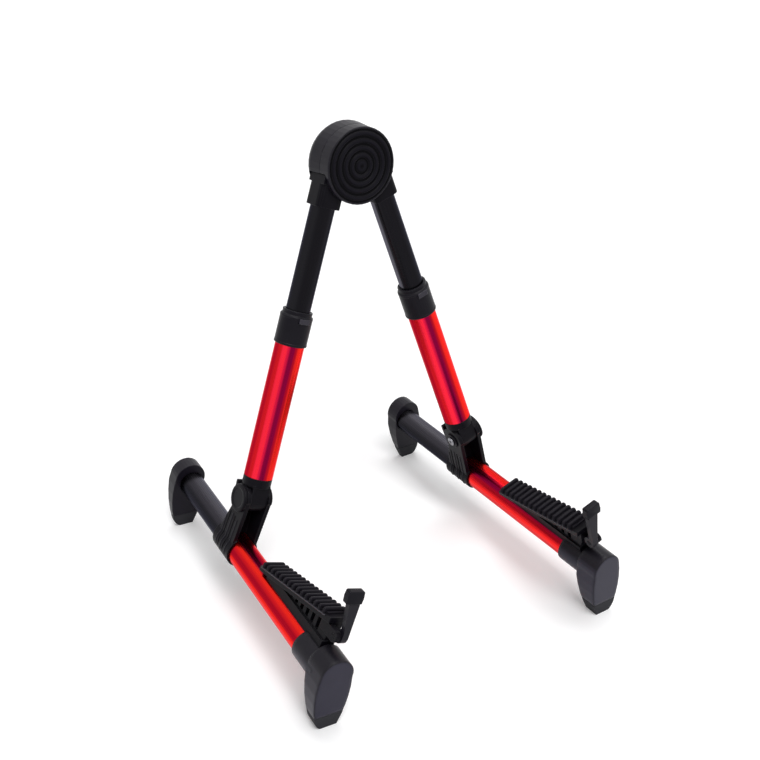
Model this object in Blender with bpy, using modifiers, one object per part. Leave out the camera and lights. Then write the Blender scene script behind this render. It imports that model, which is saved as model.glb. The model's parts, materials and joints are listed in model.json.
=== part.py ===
"""Folding guitar stand: an A-frame of two telescopic legs on a round hub, with a folding floor rail,
a rising instrument arm and an upright stop at the foot of each leg.

Sizes are in millimetres, and the helpers write them to the objects in metres. Every piece is modelled
in the frame of the part that carries it: the hub, a leg, a floor rail or a stop. A leg runs down its
frame's -Z and a rail runs forward along its frame's -Y. Inward is towards the stand's middle plane.
"""
import math

import bmesh
import bpy
from mathutils import Euler, Matrix, Vector

MM = 0.001

# Stance of the open stand
SPREAD = 19.0            # each leg's angle from the middle plane, degrees
LEAN = 10.2              # backward lean of the plane that holds both legs, degrees
PIVOT_OFFSET = 17.5      # each leg pivot from the middle plane
LEG_LENGTH = 288.0       # leg pivot to rail hinge, legs extended
HINGE_RISE = 47.6        # rail hinge above the rail's axis, square to the rail
RAIL_HEIGHT = 45.5       # rail axis above the floor

# Clearances
FIT = 0.3                # between pieces that touch
SLIDE_FIT = 0.3          # between the sliding tube and the collar round it

# Round tubes
INNER_TUBE_R = 10.4
OUTER_TUBE_R = 12.5
REAR_TUBE_R = 11.0       # rear rail tube, which slides inside the front one
TUBE_WALL = 1.2
ROUND_STEPS = 40
SMALL_STEPS = 20

# Hub
HUB_REAR_R = 33.4
HUB_FRONT_R = 31.5
HUB_DOME_R = 29.0        # flat back face
HUB_WIDEST = 10.0        # behind the leg plane
HUB_WALL = 2.2
HUB_INSIDE = 11.8        # leg plane to the inner face of either plate
HUB_PLATE = 3.4
HUB_SPLIT = 4.0          # parting line, forward of the leg plane
HUB_LIP = 0.9            # rim that stands round the pad
PAD_R = 29.8
PAD_THICK = 1.6
PAD_GROOVES = 4
PAD_GROOVE_PITCH = 5.8
PAD_FIRST_GROOVE = 5.9
PAD_GROOVE_DEPTH = 0.9
PAD_GROOVE_HALF = 1.0
PIVOT_PIN_R = 3.0
HUB_SCREW_UP = 24.0      # hub screw above the pivots
HUB_SCREW_R = 2.0
HUB_SCREW_HEAD = 1.4
HUB_MOUTH = 3.0          # upper edge of the leg mouth, below the pivots
MOUTH_DIP = 6.0          # how much lower it is between the legs

# Leg yoke with its gear sector
SOCKET_HALF = 11.6
SOCKET_TOP = 8.0         # along the leg from the pivot
SOCKET_END = 33.4
SOCKET_CORNER = 5.0
YOKE_NECK = 15.0         # end of the flat part that carries the gear
YOKE_BOSS_R = 11.6
GEAR_TEETH = 14
TOOTH_OUT = 1.8
TOOTH_IN = 2.5
TOOTH_TAPER = 2.3        # degrees that each flank leans
TOOTH_BACKLASH = 1.3     # degrees taken off each flank

# Telescope, lengths along the leg
INNER_TUBE_TOP = 13.0    # below the pivot
HINGE_TO_TUBE = 20.7     # red tube's end above the rail hinge
LOWER_TUBE_LENGTH = 135.3
TUBE_OVERLAP = 42.0      # black tube inside the red one, legs extended
COLLAR_ABOVE = 11.5      # collar above the red tube's top
COLLAR_BELOW = 18.0
COLLAR_R = 13.9
COLLAR_LIP_R = 12.6
COLLAR_LIP = 3.5
COLLAR_ROUND = 0.9
BUSH_FLANGE = 3.0
BUSH_STEM = 8.0
BUTTON_HALF = 4.8
BUTTON_DOWN = 4.7        # button's top below the collar's top
BUTTON_TALL = 4.6
BUTTON_PROUD = 0.8
BUTTON_TRAVEL = 1.2
BUTTON_EDGE = 0.4

# Rail hinge
PLUG_LENGTH = 7.0        # of the leg end inside the red tube
LEG_END_BAND = 7.5       # of the leg end below the red tube
KNUCKLE_HALF = 8.2
KNUCKLE_R = 10.6
CHEEK_WALL = 3.5
CHEEK_R = 12.6
CHEEK_FRONT = 11.5       # front edge ahead of the hinge
CHEEK_REAR_HIGH = 9.0    # rear edge behind the hinge, below the tab
CHEEK_REAR_LOW = 17.5    # rear edge behind the hinge, at the rail
CHEEK_SHOULDER = 12.6    # where the rear edge starts, below the hinge
TAB_HIGH = 9.8           # rear tab that stops the leg, above the hinge
TAB_THICK = 2.0
TAB_ROOT = 8.0
SADDLE_R = 14.3
SADDLE_LIP = 0.8         # saddle beyond the cheeks, front and rear
GROOVE_WIDE = 1.8
GROOVE_DEEP = 0.9
GROOVE_LOW = 25.0        # lower end round the saddle, degrees below the rail's axis
GROOVE_REAR = (7.0, -1.8)  # cheek grooves behind the hinge
GROOVE_TOP = 17.0        # below the hinge
BOLT_R = 3.0
KNOB_R = 12.2
KNOB_THICK = 2.8
KNOB_ROUND = 0.9
WASHER_R = 7.4
WASHER_THICK = 1.0
WASHER_EDGE = 0.3
HEAD_R = 4.2
HEAD_THICK = 1.3

# Floor rail, distances forward of the hinge
FRONT_TUBE_START = -1.7
FRONT_TUBE_END = 168.0
REAR_TUBE_START = -104.5
REAR_TUBE_END = 28.0
SLEEVE_START = 138.5
SLEEVE_R = 14.4
FOOT_FACE = FRONT_TUBE_END + 17.0
FOOT_THICK = 22.0
REAR_FOOT_FACE = REAR_TUBE_START + 3.5
REAR_FOOT_THICK = 14.0
REAR_FOOT_OUT = 2.5      # how far the rear foot stands outward of the rail's axis
FOOT_TAPER = 10.0        # how much thinner a foot is at the floor, taken off its back
FOOT_TAPER_TOP = 3.0     # start of that slope below the rail's axis
FOOT_TOP_R = 14.4
FOOT_TOP_RISE = 4.6      # centre of the foot's round top above the rail's axis
FOOT_SIDE_R = 95.0       # bow of the foot's outer side
FOOT_BACK_R = 106.0      # bow of its inner side
FOOT_TOE_R = 12.6
FOOT_TOE_IN = 8.0        # centre of the round toe, inward of the rail's axis
FOOT_TOE_DROP = 34.8     # and below it
TREAD_LINE = 12.0        # top of the rubber tread above the floor
FOOT_EDGE = 0.8

# Instrument arm, distances forward of the hinge and above the rail axis
ARM_START = 57.0
ARM_END = 163.0
ARM_HALF = 9.6
PAD_START = 57.6
PAD_START_RISE = 23.0
PAD_SLOPE = 0.245
PAD_RIBS = 15
PAD_RIB_PITCH = 6.5
PAD_RIB_GAP = 2.2
PAD_RIB_HIGH = 3.2
PAD_RIB_LEAN = 0.5       # that each flank of a rib leans
PAD_BASE = 1.5
PAD_HALF = 10.6
BAND = 5.0
BAND_RUN_IN = 14.0       # length over which the band thins towards its rear end
WEB_HALF = 5.0
CHORD_HALF = 6.4
CHORD_TOP = 19.5
CHORD_START = 66.0
CHORD_END = ARM_END - 3.0
WINDOWS = 8
FIRST_WINDOW = 84.0
WINDOW_PITCH = 8.6
WINDOW_WIDE = 4.2
WINDOW_RIM = 1.2

# Stop hook
HOOK_PIN_FORWARD = ARM_END + 6.9
HOOK_PIN_RISE = 31.8
HOOK_PIN_R = 2.0
HOOK_BOSS_R = 5.5
HOOK_FRONT = 6.0         # front face ahead of the pin
HOOK_LEAN = 4.2          # degrees that the stop leans back
HOOK_DEPTH = 4.9
HOOK_INNER = 3.6         # inner side, inward of the rail's middle plane
HOOK_OUTER = 1.8         # outer side at the pin
HOOK_OUTER_TOP = 6.4     # outer side under the tip
LUG_R = 4.8
LUG_WIDE = 4.6
TIP_LOW = 32.0           # above the pin
TIP_HIGH = 43.0
TIP_OUTER = 10.0
TIP_INNER = 4.8
TIP_WALL = 0.65          # tip beyond the stop, front and back
TIP_EDGE = 0.9
TONGUE_HIGH = 6.0
TONGUE_HALF = 3.0
TONGUE_DEPTH = 2.6

# Places along the leg that follow from these
COLLAR_TOP = LEG_LENGTH - HINGE_TO_TUBE - LOWER_TUBE_LENGTH - COLLAR_ABOVE
OUTER_TUBE_TOP = LEG_LENGTH - HINGE_TO_TUBE - LOWER_TUBE_LENGTH
OUTER_TUBE_END = LEG_LENGTH - HINGE_TO_TUBE
COLLAR_END = OUTER_TUBE_TOP + COLLAR_BELOW
INNER_TUBE_END = OUTER_TUBE_TOP + TUBE_OVERLAP
BUTTON_TOP = COLLAR_TOP + BUTTON_DOWN
BUTTON_END = BUTTON_TOP + BUTTON_TALL
HUB_FACE = HUB_INSIDE + HUB_PLATE

# The rail is level and lies in its leg's plane of travel
RAIL_TURN = math.atan(math.tan(math.radians(LEAN)) / math.cos(math.radians(SPREAD)))
RAIL_ROLL = math.asin(math.sin(math.radians(SPREAD)) * math.cos(math.radians(LEAN)))
LEG_DROP = LEG_LENGTH * math.cos(math.radians(SPREAD)) * math.cos(math.radians(LEAN))
HUB_HEIGHT = RAIL_HEIGHT + HINGE_RISE * math.cos(RAIL_ROLL) + LEG_DROP

FACING_FRONT = (math.pi / 2, 0, 0)
ALONG_X = (0, math.pi / 2, 0)
ALONG_RAIL = FACING_FRONT
PLATE_TURNS = {"X": (math.pi / 2, 0, math.pi / 2), "Y": (math.pi / 2, 0, 0), "Z": (0, 0, 0)}
PLATE_SHIFTS = {"X": (1, 0, 0), "Y": (0, 1, 0), "Z": (0, 0, 1)}

for old in list(bpy.data.objects):
    bpy.data.objects.remove(old, do_unlink=True)


def collection(name):
    group = bpy.data.collections.new(name)
    bpy.context.scene.collection.children.link(group)
    return group


PARTS = collection("guitar_stand")
CUTTERS = collection("cutters")


def material(name, colour, roughness, metallic=0.0):
    made = bpy.data.materials.new(name)
    made.use_nodes = True
    shader = made.node_tree.nodes["Principled BSDF"]
    shader.inputs["Base Color"].default_value = (*colour, 1.0)
    shader.inputs["Roughness"].default_value = roughness
    shader.inputs["Metallic"].default_value = metallic
    return made


BLACK_PLASTIC = material("black_plastic", (0.018, 0.018, 0.021), 0.5)
BLACK_TUBE = material("black_anodised_tube", (0.022, 0.022, 0.026), 0.35, 0.6)
RED_TUBE = material("red_anodised_tube", (0.72, 0.015, 0.03), 0.28, 0.85)
RUBBER = material("black_rubber", (0.014, 0.014, 0.017), 0.75)
GREY_RUBBER = material("grey_rubber", (0.06, 0.06, 0.07), 0.7)
STEEL = material("bright_steel", (0.6, 0.6, 0.62), 0.25, 1.0)


# Helpers that make one object each
def local_matrix(place=(0, 0, 0), turn=(0, 0, 0)):
    return Matrix.LocRotScale(Vector(place) * MM, Euler(turn), None)


def empty(name, parent=None, place=(0, 0, 0), turn=(0, 0, 0)):
    made = bpy.data.objects.new(name, None)
    made.empty_display_size = 0.01
    made.parent = parent
    made.matrix_basis = local_matrix(place, turn)
    PARTS.objects.link(made)
    return made


def put(name, mesh, finish=None, parent=None, matrix=Matrix.Identity(4)):
    """An object for a mesh; one without a finish is a cutter or a joiner, kept out of the model."""
    made = bpy.data.objects.new(name, mesh)
    made.parent = parent
    made.matrix_basis = matrix
    if finish is None:
        made.hide_render = True
        made.display_type = "WIRE"
        CUTTERS.objects.link(made)
    else:
        mesh.materials.append(finish)
        PARTS.objects.link(made)
    return made


def finished(work, name):
    """A mesh in metres, shaded smooth but for its edges, from a bmesh in millimetres."""
    bmesh.ops.transform(work, matrix=Matrix.Scale(MM, 4), verts=work.verts)
    mesh = bpy.data.meshes.new(name)
    work.to_mesh(mesh)
    work.free()
    mesh.shade_smooth()
    mesh.set_sharp_from_angle(angle=math.radians(30))
    return mesh


def turned(name, profile, finish=None, closed=False, steps=ROUND_STEPS, parent=None, **where):
    """A profile of (radius, height) turned round the local Z axis; its outer side runs downwards."""
    work = bmesh.new()
    points = [work.verts.new((radius, 0, height)) for radius, height in profile]
    pairs = list(zip(points, points[1:]))
    if closed:
        pairs.append((points[-1], points[0]))
    for first, second in pairs:
        work.edges.new((first, second))
    made = put(name, finished(work, name), finish, parent, local_matrix(**where))
    screw = made.modifiers.new("Turn", "SCREW")
    screw.angle = math.tau
    screw.steps = steps
    screw.render_steps = steps
    screw.use_merge_vertices = True
    screw.merge_threshold = 0.00001
    screw.use_smooth_shade = True
    return made


def tube(name, radius, wall, top, bottom, finish, **where):
    inside = radius - wall
    profile = [(inside, top), (radius, top), (radius, bottom), (inside, bottom)]
    return turned(name, profile, finish, closed=True, **where)


def rod(name, radius, top, bottom, finish=None, steps=ROUND_STEPS, parent=None, **where):
    work = bmesh.new()
    middle = Matrix.Translation((0, 0, (top + bottom) / 2))
    bmesh.ops.create_cone(work, cap_ends=True, segments=steps, radius1=radius, radius2=radius,
                          depth=top - bottom, matrix=middle)
    return put(name, finished(work, name), finish, parent, local_matrix(**where))


def block(name, low, high, finish=None, bevel=0.0, parent=None, **where):
    """A box between two corners."""
    size = Vector(high) - Vector(low)
    centre = (Vector(high) + Vector(low)) / 2
    work = bmesh.new()
    bmesh.ops.create_cube(work, size=1, matrix=Matrix.LocRotScale(centre, None, size))
    made = put(name, finished(work, name), finish, parent, local_matrix(**where))
    soften(made, bevel)
    return made


def plate(name, outline, low, high, axis, finish=None, bevel=0.0, parent=None, **where):
    """A flat outline of (a, b) points with its thickness along X, Y or Z, from low to high."""
    curve = bpy.data.curves.new(name, "CURVE")
    curve.dimensions = "2D"
    curve.fill_mode = "BOTH"
    curve.extrude = (high - low) / 2 * MM
    spline = curve.splines.new("POLY")
    spline.points.add(len(outline) - 1)
    spline.use_cyclic_u = True
    for point, (a, b) in zip(spline.points, outline):
        point.co = (a * MM, b * MM, 0, 1)
    guide = bpy.data.objects.new(name, curve)
    guide.parent = parent
    middle = Vector(PLATE_SHIFTS[axis]) * (high + low) / 2
    guide.matrix_basis = local_matrix(**where) @ local_matrix(middle, PLATE_TURNS[axis])
    CUTTERS.objects.link(guide)
    view = bpy.context.evaluated_depsgraph_get()
    mesh = bpy.data.meshes.new_from_object(guide.evaluated_get(view))
    work = bmesh.new()
    work.from_mesh(mesh)
    bmesh.ops.remove_doubles(work, verts=work.verts, dist=0.000001)
    bmesh.ops.recalc_face_normals(work, faces=work.faces)
    bmesh.ops.transform(work, matrix=Matrix.Scale(1 / MM, 4), verts=work.verts)
    bpy.data.meshes.remove(mesh)
    made = put(name, finished(work, name), finish, parent, guide.matrix_basis)
    bpy.data.objects.remove(guide)
    bpy.data.curves.remove(curve)
    made.name = name
    soften(made, bevel)
    return made


def soften(piece, width):
    """Bevels a piece's sharp edges."""
    if width:
        edge = piece.modifiers.new("Edge", "BEVEL")
        edge.width = width * MM
        edge.segments = 2
        edge.limit_method = "ANGLE"
        edge.angle_limit = math.radians(40)


def combine(piece, others, operation):
    for other in others:
        step = piece.modifiers.new(operation.title(), "BOOLEAN")
        step.operation = operation
        step.solver = "EXACT"
        step.object = other
    return piece


# Helpers that work out outlines
def arc(centre, radius, start, end, count):
    """Points on a circle from one angle to another, in degrees."""
    angles = [math.radians(start + (end - start) * i / count) for i in range(count + 1)]
    return [(centre[0] + radius * math.cos(a), centre[1] + radius * math.sin(a)) for a in angles]


def bowed(start, end, radius, count):
    """Points between two ends, on an arc that bows to the right of the way from start to end."""
    first, last = Vector(start), Vector(end)
    chord = last - first
    offset = math.sqrt(radius ** 2 - chord.length_squared / 4)
    centre = (first + last) / 2 + Vector((-chord.y, chord.x)).normalized() * offset
    angle = math.atan2(first.y - centre.y, first.x - centre.x)
    turn = 2 * math.asin(chord.length / 2 / radius)
    return arc(centre, radius, math.degrees(angle), math.degrees(angle + turn), count)[1:-1]


def rounded_box(half_x, half_y, corner, count):
    outline = []
    for quarter, (sign_x, sign_y) in enumerate(((1, 1), (-1, 1), (-1, -1), (1, -1))):
        centre = (sign_x * (half_x - corner), sign_y * (half_y - corner))
        outline += arc(centre, corner, 90 * quarter, 90 * quarter + 90, count)
    return outline


def clip(outline, keep):
    """The part of an outline where keep(point) is positive; keep is linear."""
    kept = []
    for first, second in zip(outline, outline[1:] + outline[:1]):
        one, two = keep(first), keep(second)
        if one >= 0:
            kept.append(first)
        if one * two < 0:
            share = one / (one - two)
            kept.append(tuple(a + (b - a) * share for a, b in zip(first, second)))
    return kept


# Hub: shells, pad, pins and screw
def hub_mouth(frame):
    """Cutter that opens the lower half of the wall so that both legs can swing."""
    reach = HUB_REAR_R + 15
    step = PIVOT_OFFSET + 4
    low = -HUB_MOUTH - MOUTH_DIP
    outline = [(-reach, -HUB_MOUTH), (-step, -HUB_MOUTH), (-PIVOT_OFFSET, low), (PIVOT_OFFSET, low),
               (step, -HUB_MOUTH), (reach, -HUB_MOUTH), (reach, -reach), (-reach, -reach)]
    return plate("mouth_cutter", outline, -HUB_INSIDE, HUB_INSIDE, "Y", parent=frame)


def build_hub(frame):
    mouth = hub_mouth(frame)
    shell = [(0, -HUB_INSIDE), (HUB_REAR_R - HUB_WALL - 2, -HUB_INSIDE),
             (HUB_REAR_R - HUB_WALL, -HUB_WIDEST + 0.5), (HUB_FRONT_R - HUB_WALL + 0.6, HUB_SPLIT),
             (HUB_FRONT_R + 0.6, HUB_SPLIT), (HUB_REAR_R, -HUB_WIDEST + 1),
             (HUB_REAR_R - 0.2, -HUB_WIDEST - 1), ((HUB_REAR_R + HUB_DOME_R) / 2 + 0.9, -HUB_FACE + 1.5),
             (HUB_DOME_R, -HUB_FACE), (0, -HUB_FACE)]
    rear = turned("hub_rear_shell", shell, BLACK_PLASTIC, parent=frame, turn=FACING_FRONT)
    screw_hole = rod("screw_hole_cutter", HUB_SCREW_R + FIT, -HUB_INSIDE + 2, -HUB_FACE - 3, parent=frame,
                     place=(0, 0, HUB_SCREW_UP), turn=FACING_FRONT, steps=SMALL_STEPS)
    combine(rear, [mouth, screw_hole], "DIFFERENCE")
    recess = PAD_R + FIT
    rim = HUB_FACE + HUB_LIP
    cover = [(0, HUB_FACE), (recess, HUB_FACE), (recess, rim), (HUB_FRONT_R - 0.5, rim),
             (HUB_FRONT_R, rim - 0.5), (HUB_FRONT_R + 0.5, HUB_SPLIT + FIT),
             (HUB_FRONT_R - HUB_WALL + 0.5, HUB_SPLIT + FIT), (HUB_FRONT_R - HUB_WALL, HUB_INSIDE),
             (0, HUB_INSIDE)]
    front = turned("hub_front_cover", cover, BLACK_PLASTIC, parent=frame, turn=FACING_FRONT)
    combine(front, [mouth], "DIFFERENCE")
    build_hub_pad(frame)
    for side, word in ((-1, "left"), (1, "right")):
        rod(word + "_pivot_pin", PIVOT_PIN_R, HUB_INSIDE - FIT, -HUB_INSIDE + FIT, STEEL, parent=frame,
            place=(side * PIVOT_OFFSET, 0, 0), turn=FACING_FRONT, steps=SMALL_STEPS)
    head = -HUB_FACE - FIT
    screw = [(0, HUB_INSIDE - FIT), (HUB_SCREW_R, HUB_INSIDE - FIT), (HUB_SCREW_R, head),
             (2 * HUB_SCREW_R, head), (2 * HUB_SCREW_R, head - HUB_SCREW_HEAD), (0, head - HUB_SCREW_HEAD)]
    turned("hub_screw", screw, STEEL, parent=frame, place=(0, 0, HUB_SCREW_UP), turn=FACING_FRONT,
           steps=SMALL_STEPS)


def build_hub_pad(frame):
    """Rubber disc with ring grooves on the front cover."""
    low = HUB_FACE + FIT
    high = low + PAD_THICK
    rings = [(0, high)]
    for index in range(PAD_GROOVES):
        middle = PAD_FIRST_GROOVE + index * PAD_GROOVE_PITCH
        for shift, depth in ((-1, 0), (-0.5, 1), (0.5, 1), (1, 0)):
            rings.append((middle + shift * PAD_GROOVE_HALF, high - depth * PAD_GROOVE_DEPTH))
    rings += [(PAD_R - 0.6, high), (PAD_R, high - 0.6), (PAD_R, low), (0, low)]
    turned("hub_pad", rings, RUBBER, parent=frame, turn=FACING_FRONT, steps=48)


# Legs
def gear_outline(side):
    """Outline in the leg frame, x inward: a boss round the pivot and a gear sector towards the partner."""
    pitch = 360.0 / GEAR_TEETH
    half = pitch / 4 - TOOTH_BACKLASH
    first = SPREAD - 2 * pitch if side < 0 else SPREAD - 1.5 * pitch
    root = PIVOT_OFFSET - TOOTH_IN
    tip = PIVOT_OFFSET + TOOTH_OUT
    points = [(-YOKE_BOSS_R, -YOKE_NECK), (YOKE_BOSS_R, -YOKE_NECK)]
    for index in range(4):
        middle = first + index * pitch
        if middle - half < -25 or middle + half > 62:
            continue
        flanks = ((root, -half - TOOTH_TAPER), (tip, -half + TOOTH_TAPER), (tip, half - TOOTH_TAPER),
                  (root, half + TOOTH_TAPER))
        for radius, shift in flanks:
            angle = math.radians(middle + shift)
            points.append((radius * math.cos(angle), radius * math.sin(angle)))
    return points + arc((0, 0), YOKE_BOSS_R, 75, 215, 12) + [(-YOKE_BOSS_R, -SOCKET_TOP)]


def build_upper_leg(frame, side, word):
    inward = -side
    depth = HUB_INSIDE - FIT
    outline = [(inward * x, z) for x, z in gear_outline(side)]
    yoke = plate(word + "_leg_yoke", outline, -depth, depth, "Y", BLACK_PLASTIC, parent=frame)
    corners = rounded_box(SOCKET_HALF, depth - FIT, SOCKET_CORNER, 4)
    socket = plate("socket_joiner", corners, -SOCKET_END, -SOCKET_TOP, "Z", parent=frame, bevel=0.3)
    bore = rod("bore_cutter", INNER_TUBE_R + FIT, -INNER_TUBE_TOP + FIT, -SOCKET_END - 5, parent=frame)
    pin = rod("pin_cutter", PIVOT_PIN_R + FIT, depth + 3, -depth - 3, parent=frame, turn=FACING_FRONT,
              steps=SMALL_STEPS)
    combine(yoke, [socket], "UNION")
    combine(yoke, [bore, pin], "DIFFERENCE")
    tube(word + "_upper_tube", INNER_TUBE_R, TUBE_WALL, -INNER_TUBE_TOP, -INNER_TUBE_END, BLACK_TUBE,
         parent=frame)
    inside = INNER_TUBE_R - TUBE_WALL - FIT
    flange = OUTER_TUBE_R - TUBE_WALL - FIT
    low = -INNER_TUBE_END - FIT
    bush = [(0, -INNER_TUBE_END + BUSH_STEM), (inside, -INNER_TUBE_END + BUSH_STEM), (inside, low),
            (flange, low), (flange, low - BUSH_FLANGE), (0, low - BUSH_FLANGE)]
    turned(word + "_guide_bush", bush, BLACK_PLASTIC, parent=frame, steps=28)


def build_lower_leg(frame, side, word):
    bore = INNER_TUBE_R + SLIDE_FIT
    seat = OUTER_TUBE_R + FIT
    shoulder = -COLLAR_TOP - COLLAR_LIP
    collar = [(bore, -COLLAR_TOP), (COLLAR_LIP_R, -COLLAR_TOP), (COLLAR_LIP_R, shoulder),
              (COLLAR_R - COLLAR_ROUND, shoulder), (COLLAR_R, shoulder - COLLAR_ROUND),
              (COLLAR_R, -COLLAR_END + 2 * COLLAR_ROUND), (COLLAR_R - COLLAR_ROUND, -COLLAR_END),
              (seat, -COLLAR_END), (seat, -OUTER_TUBE_TOP + FIT), (bore, -OUTER_TUBE_TOP + FIT)]
    body = turned(word + "_collar", collar, BLACK_PLASTIC, closed=True, parent=frame)
    window = block("button_cutter", (-BUTTON_HALF - FIT, -COLLAR_R - 3, -BUTTON_END - FIT),
                   (BUTTON_HALF + FIT, -INNER_TUBE_R + 3, -BUTTON_TOP + FIT), parent=frame)
    combine(body, [window], "DIFFERENCE")
    tube(word + "_lower_tube", OUTER_TUBE_R, TUBE_WALL, -OUTER_TUBE_TOP, -OUTER_TUBE_END, RED_TUBE,
         parent=frame)
    build_leg_end(frame, word)


def build_leg_end(frame, word):
    """Plug in the red tube, a band of the same diameter under it and the hinge's knuckle."""
    top = -OUTER_TUBE_END - FIT
    band_end = top - LEG_END_BAND
    plug_r = OUTER_TUBE_R - TUBE_WALL - FIT
    profile = [(0, -OUTER_TUBE_END + PLUG_LENGTH), (plug_r, -OUTER_TUBE_END + PLUG_LENGTH), (plug_r, top),
               (OUTER_TUBE_R, top), (OUTER_TUBE_R, band_end), (0, band_end)]
    end = turned(word + "_leg_end", profile, BLACK_PLASTIC, parent=frame)
    outline = arc((0, -LEG_LENGTH), KNUCKLE_R, 180, 360, 14) + [(KNUCKLE_R, band_end + 1.5),
                                                               (-KNUCKLE_R, band_end + 1.5)]
    knuckle = plate("knuckle_joiner", outline, -KNUCKLE_HALF, KNUCKLE_HALF, "X", parent=frame)
    hole = rod("knuckle_hole_cutter", BOLT_R + FIT, KNUCKLE_HALF + 3, -KNUCKLE_HALF - 3, parent=frame,
               place=(0, 0, -LEG_LENGTH), turn=ALONG_X, steps=SMALL_STEPS)
    combine(end, [knuckle], "UNION")
    combine(end, [hole], "DIFFERENCE")


def build_button(frame, word):
    inner = -INNER_TUBE_R - SLIDE_FIT - BUTTON_TRAVEL
    block(word + "_lock_button", (-BUTTON_HALF, -COLLAR_R - BUTTON_PROUD, -BUTTON_END),
          (BUTTON_HALF, inner, -BUTTON_TOP), BLACK_PLASTIC, bevel=BUTTON_EDGE, parent=frame)


# Rail hinge
def build_bracket(frame, word):
    """Two cheeks on a saddle that holds both rail tubes, with a rear tab that stops the leg."""
    low = KNUCKLE_HALF + FIT
    high = low + CHEEK_WALL
    foot = -HINGE_RISE
    lean = math.tan(RAIL_TURN)
    face = (KNUCKLE_R + FIT) / math.cos(RAIL_TURN)
    tab = face + TAB_HIGH * lean
    outline = [(-CHEEK_FRONT, 0), (-CHEEK_FRONT, foot), (CHEEK_REAR_LOW, foot),
               (CHEEK_REAR_HIGH, -CHEEK_SHOULDER), (tab + TAB_THICK - 1, TAB_ROOT - 4),
               (tab + TAB_THICK, TAB_HIGH), (tab, TAB_HIGH)]
    outline += arc((0, 0), CHEEK_R, 30, 170, 12)
    piece = plate(word + "_hinge_bracket", outline, -high, high, "X", BLACK_PLASTIC, parent=frame)
    saddle = rod("saddle_joiner", SADDLE_R, CHEEK_FRONT + SADDLE_LIP, -CHEEK_REAR_LOW - SADDLE_LIP,
                 parent=frame, place=(0, 0, foot), turn=ALONG_RAIL)
    combine(piece, [saddle], "UNION")
    front_bore = rod("front_bore_cutter", OUTER_TUBE_R + FIT, CHEEK_FRONT + 6, FRONT_TUBE_START - FIT,
                     parent=frame, place=(0, 0, foot), turn=ALONG_RAIL)
    rear_bore = rod("rear_bore_cutter", REAR_TUBE_R + FIT, CHEEK_FRONT - 3, -CHEEK_REAR_LOW - 6,
                    parent=frame, place=(0, 0, foot), turn=ALONG_RAIL)
    hollow_end = foot + SADDLE_R - 7
    space = [(-CHEEK_FRONT - 6, CHEEK_R + 9), (face + (CHEEK_R + 9) * lean, CHEEK_R + 9),
             (face + hollow_end * lean, hollow_end), (-CHEEK_FRONT - 6, hollow_end)]
    hollow = plate("hollow_cutter", space, -low, low, "X", parent=frame)
    hole = rod("bolt_hole_cutter", BOLT_R + FIT, high + 3, -high - 3, parent=frame, turn=ALONG_X,
               steps=SMALL_STEPS)
    combine(piece, [front_bore, rear_bore, hollow, hole] + cheek_grooves(frame, high), "DIFFERENCE")


def cheek_grooves(frame, high):
    """Cutters for the upright grooves that run down each cheek and on round the saddle."""
    depth = high - GROOVE_DEEP
    ring = SADDLE_R - GROOVE_DEEP
    start = math.degrees(math.acos(depth / ring))
    line = [(depth, -GROOVE_TOP)] + arc((0, -HINGE_RISE), ring, start, -GROOVE_LOW, 6)
    line += [(SADDLE_R + 2, line[-1][1]), (SADDLE_R + 2, -GROOVE_TOP)]
    cutters = []
    for side in (-1, 1):
        outline = [(side * x, z) for x, z in line]
        for rear in GROOVE_REAR:
            cutters.append(plate("groove_cutter", outline, rear - GROOVE_WIDE / 2,
                                 rear + GROOVE_WIDE / 2, "Y", parent=frame))
    return cutters


def build_hinge_pin(frame, side, word):
    """Bolt with a hexagonal head on the inner side, a washer under it and a round knob outside."""
    inward = -side
    cheek = KNUCKLE_HALF + FIT + CHEEK_WALL
    knob_end = cheek + FIT
    head = cheek + 2 * FIT + WASHER_THICK
    turn = (0, inward * math.pi / 2, 0)
    bolt = rod(word + "_hinge_bolt", BOLT_R, head + 1, -knob_end - 1, STEEL, parent=frame, turn=turn,
               steps=SMALL_STEPS)
    hexagon = arc((0, 0), HEAD_R, 0, 300, 5)
    cap = plate("head_joiner", hexagon, head, head + HEAD_THICK, "Z", parent=frame, turn=turn)
    combine(bolt, [cap], "UNION")
    washer = [(BOLT_R + FIT, head - FIT), (WASHER_R - WASHER_EDGE, head - FIT),
              (WASHER_R, head - FIT - WASHER_EDGE), (WASHER_R, cheek + FIT), (BOLT_R + FIT, cheek + FIT)]
    turned(word + "_hinge_washer", washer, BLACK_PLASTIC, closed=True, parent=frame, turn=turn, steps=28)
    outer = -knob_end - KNOB_THICK
    knob = [(0, -knob_end - 1 - FIT), (BOLT_R + FIT, -knob_end - 1 - FIT), (BOLT_R + FIT, -knob_end),
            (KNOB_R - 0.5, -knob_end), (KNOB_R, -knob_end - 0.5), (KNOB_R, outer + KNOB_ROUND),
            (KNOB_R - KNOB_ROUND, outer), (0, outer)]
    turned(word + "_hinge_knob", knob, BLACK_PLASTIC, parent=frame, turn=turn)


# Floor rail
def foot_outline(out):
    """Outline from the front as (inward, up) from the rail's axis: round top, bowed sides, round toe."""
    top = arc((-out, FOOT_TOP_RISE), FOOT_TOP_R, 0, 180, 14)
    toe = arc((FOOT_TOE_IN - out, -FOOT_TOE_DROP), FOOT_TOE_R, 210, 320, 8)
    outer = bowed(top[-1], toe[0], FOOT_SIDE_R, 5)
    inner = bowed(toe[-1], top[0], FOOT_BACK_R, 5)
    return clip(top + outer + toe + inner, height)


def height(point):
    """Height above the floor of a point (inward, up) from the rail's axis."""
    return RAIL_HEIGHT + point[1] * math.cos(RAIL_ROLL) - point[0] * math.sin(RAIL_ROLL)


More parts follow.
